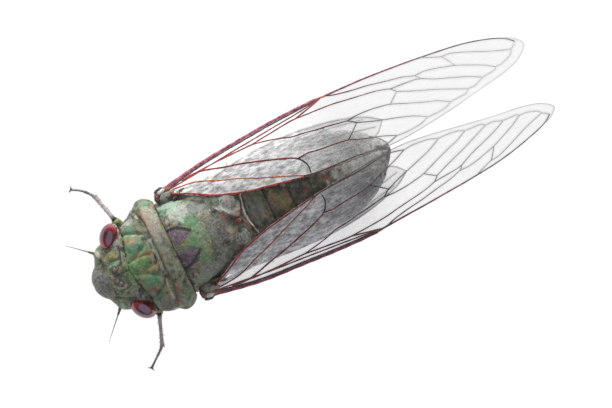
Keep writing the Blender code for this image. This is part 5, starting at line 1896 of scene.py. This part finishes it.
@dataclass
class Down:
    """Short fine hairs on the skin, each a thin bent spike with its root in the skin."""

    name: str
    part: BodyPart
    count: int
    length: float
    width: float
    patches: Sequence[Spot]
    seed: int
    lean: float = 0.75

    def build(self) -> None:
        """Grow the hairs on both sides of the patches, more thickly towards the patches' middles."""
        grid, normal, _ = self.part.skin()
        rng = np.random.default_rng(SEED + self.seed)
        rows, sides = grid.shape[:2]
        across, aft = np.abs(grid[..., 0]), grid[..., 1]
        weight = np.zeros(aft.shape)
        for spot in self.patches:
            weight = np.maximum(weight, ease(1.3 - spot.reach(across, aft)))
        weight *= grid[..., 2] > BELLY + 5.0
        chosen = rng.choice(weight.size, self.count, p=(weight / weight.sum()).ravel())
        row, side = np.unravel_index(chosen, weight.shape)
        root, out = grid[row, side], normal[row, side]
        root = root + (rng.random((self.count, 3)) - 0.5) * 0.08 * (1 - np.abs(out))
        lie = np.array((0.0, 1.0, 0.0)) + (rng.random((self.count, 3)) - 0.5) * 1.3
        lie = unit(lie - (lie * out).sum(1, keepdims=True) * out)
        size = self.length * (0.6 + 0.7 * rng.random(self.count))[:, None]
        middle = root + (out * (1 - self.lean * 0.55) + lie * self.lean * 0.6) * size * 0.5
        tip = root + (out * (1 - self.lean) * 0.9 + lie * self.lean) * size
        flank = np.cross(out, lie)
        arms = [arm * self.width for arm in (flank, -0.5 * flank + 0.87 * out, -0.5 * flank - 0.87 * out)]
        spikes = [root - out * 0.05 + arm for arm in arms] + [middle + arm * 0.6 for arm in arms] + [tip]
        faces = [tuple(corner + 7 * hair for corner in face)
                 for hair in range(self.count) for face in HAIR_FACES]
        shape = Shape()
        shape.add(at(*np.moveaxis(np.stack(spikes, 1), -1, 0)), faces)
        piece = shape.build(self.name, HairFinish(), Slot.SHELL)
        self.unwrap(piece, np.stack((row / rows, side / sides), -1))

    def unwrap(self, piece: Object, homes: Points) -> None:
        """Give each hair a small patch of its own on the skin's unwrap.

        Args:
            piece: the hairs.
            homes: where each hair's root lies on the skin's unwrap.
        """
        layer = piece.data.uv_layers.new(name="OFBake")
        corners = np.zeros(len(piece.data.loops), int)
        piece.data.loops.foreach_get("vertex_index", corners)
        places = 0.004 + homes[corners // 7] * 0.99 + np.array(HAIR_CORNERS)[corners % 7]
        layer.data.foreach_set("uv", places.ravel())


HAIRS = (
    Down("crown_hairs", HEAD, 900, 0.45, 0.012, [Spot(3.5, 4.5, 0.9, 0.5, -15)], seed=2),
    Down("shield_hairs", PRONOTUM, 1800, 0.5, 0.012,
         [Spot(4.6, 5.6, 1.6, 0.35, -14), Spot(3, 8.7, 3, 0.3), Spot(6, 7.2, 0.8, 1.2)], seed=3),
    Down("back_hairs", THORAX, 2800, 0.6, 0.012,
         [Spot(0, 16.8, 2, 1.7), Spot(2.4, 19.2, 1.4, 1), Spot(4.6, 17.8, 1.2, 2)], seed=4),
    Down("abdomen_hairs", ABDOMEN, 2500, 0.45, 0.01,
         [Spot(4.6, 25, 1.8, 5), Spot(0.6, 36, 2.6, 3)], seed=5),
)


# Studio


@dataclass(frozen=True)
class Panel:
    """A soft light panel that faces the insect: its place and size in metres, and its power in watts."""

    name: str
    place: Place
    size: tuple[float, float]
    watts: float
    colour: Colour = (1.0, 1.0, 1.0)
    mirrored: bool = False           # whether glossy surfaces mirror it

    def build(self) -> None:
        """Set the panel up."""
        data = bpy.data.lights.new(self.name, "AREA")
        data.shape = "RECTANGLE"
        data.size, data.size_y = self.size
        data.energy = self.watts
        data.color = self.colour
        light = put(self.name, data)
        light.location = self.place
        light.rotation_euler = Vector(self.place).to_track_quat("Z", "Y").to_euler()
        light.visible_camera = False
        light.visible_glossy = self.mirrored


@dataclass
class Studio:
    """The floor, the lights and the camera that looks straight down."""

    view_width: float = 74.97      # of the photograph at the insect, in millimetres
    middle: tuple[float, float] = (2.03, 27.9)   # x and aft of the photograph's middle
    heading: float = 64.4          # degrees that the photograph's right is turned from +X
    lens: float = 1000.0
    sensor: float = 36.0
    level: float = 10.0            # height that the view's width is measured at
    floor_half: float = 2.5        # in metres
    glow: float = 0.2              # strength of the even light from all round
    panels: Sequence[Panel] = (
        Panel("window", (-0.42, 0.1, 0.16), (0.5, 0.28), 8.0),
        Panel("overhead", (0.13, 0.08, 0.48), (1.45, 1.25), 3.7, (0.94, 0.94, 1.0), mirrored=True),
        Panel("side_fill", (0.5, -0.12, 0.2), (0.4, 0.4), 1.2, (0.92, 0.88, 1.0)),
    )

    def build_camera(self) -> None:
        """Set the camera over the insect with the photograph's frame."""
        data = bpy.data.cameras.new("camera")
        data.sensor_width = self.sensor
        data.lens = self.lens
        camera = put("camera", data)
        distance = self.lens / self.sensor * self.view_width * MM
        camera.location = Vector(at(*self.middle, self.level)) + Vector((0, 0, distance))
        camera.rotation_euler = (0.0, 0.0, math.radians(self.heading))
        bpy.context.scene.camera = camera

    def build_floor(self) -> None:
        """Lay the plain floor."""
        mesh = bpy.data.meshes.new("floor")
        half = self.floor_half
        corners = [(x * half, y * half, FLOOR_Z) for x, y in ((-1, -1), (1, -1), (1, 1), (-1, 1))]
        mesh.from_pydata(corners, [], [(0, 1, 2, 3)])
        mesh.materials.append(FloorFinish().material())
        floor = put("floor", mesh)

    def build(self) -> None:
        """Set the whole studio."""
        world = bpy.data.worlds.new("studio")
        world.use_nodes = True
        background = world.node_tree.nodes["Background"]
        Graph(world.node_tree).feed(background, {"Color": (1.0, 1.0, 1.0, 1.0), "Strength": self.glow})
        bpy.context.scene.world = world
        bpy.context.scene.view_settings.view_transform = "Standard"
        self.build_floor()
        for panel in self.panels:
            panel.build()
        self.build_camera()


def main() -> None:
    """Build the studio and every piece, in order."""
    logging.basicConfig(level=logging.INFO, format="%(name)s %(message)s")
    Studio().build()
    HEAD.build("head")
    Face().build()
    Eyes().build()
    Feelers().build()
    Beak().build()
    PRONOTUM.build("pronotum")
    THORAX.build("thorax")
    ABDOMEN.build("abdomen")
    FLANKS.build()
    WING_ROOTS.build()
    FOREWING.build()
    HINDWING.build()
    rng = np.random.default_rng(SEED + 1)
    for side, sign in SIDES:
        for pair, measures in LEGS.items():
            Leg(f"{pair}_leg_{side}", sign, measures).build(rng)
    for hairs in HAIRS:
        hairs.build()


if __name__ == "__main__":
    main()
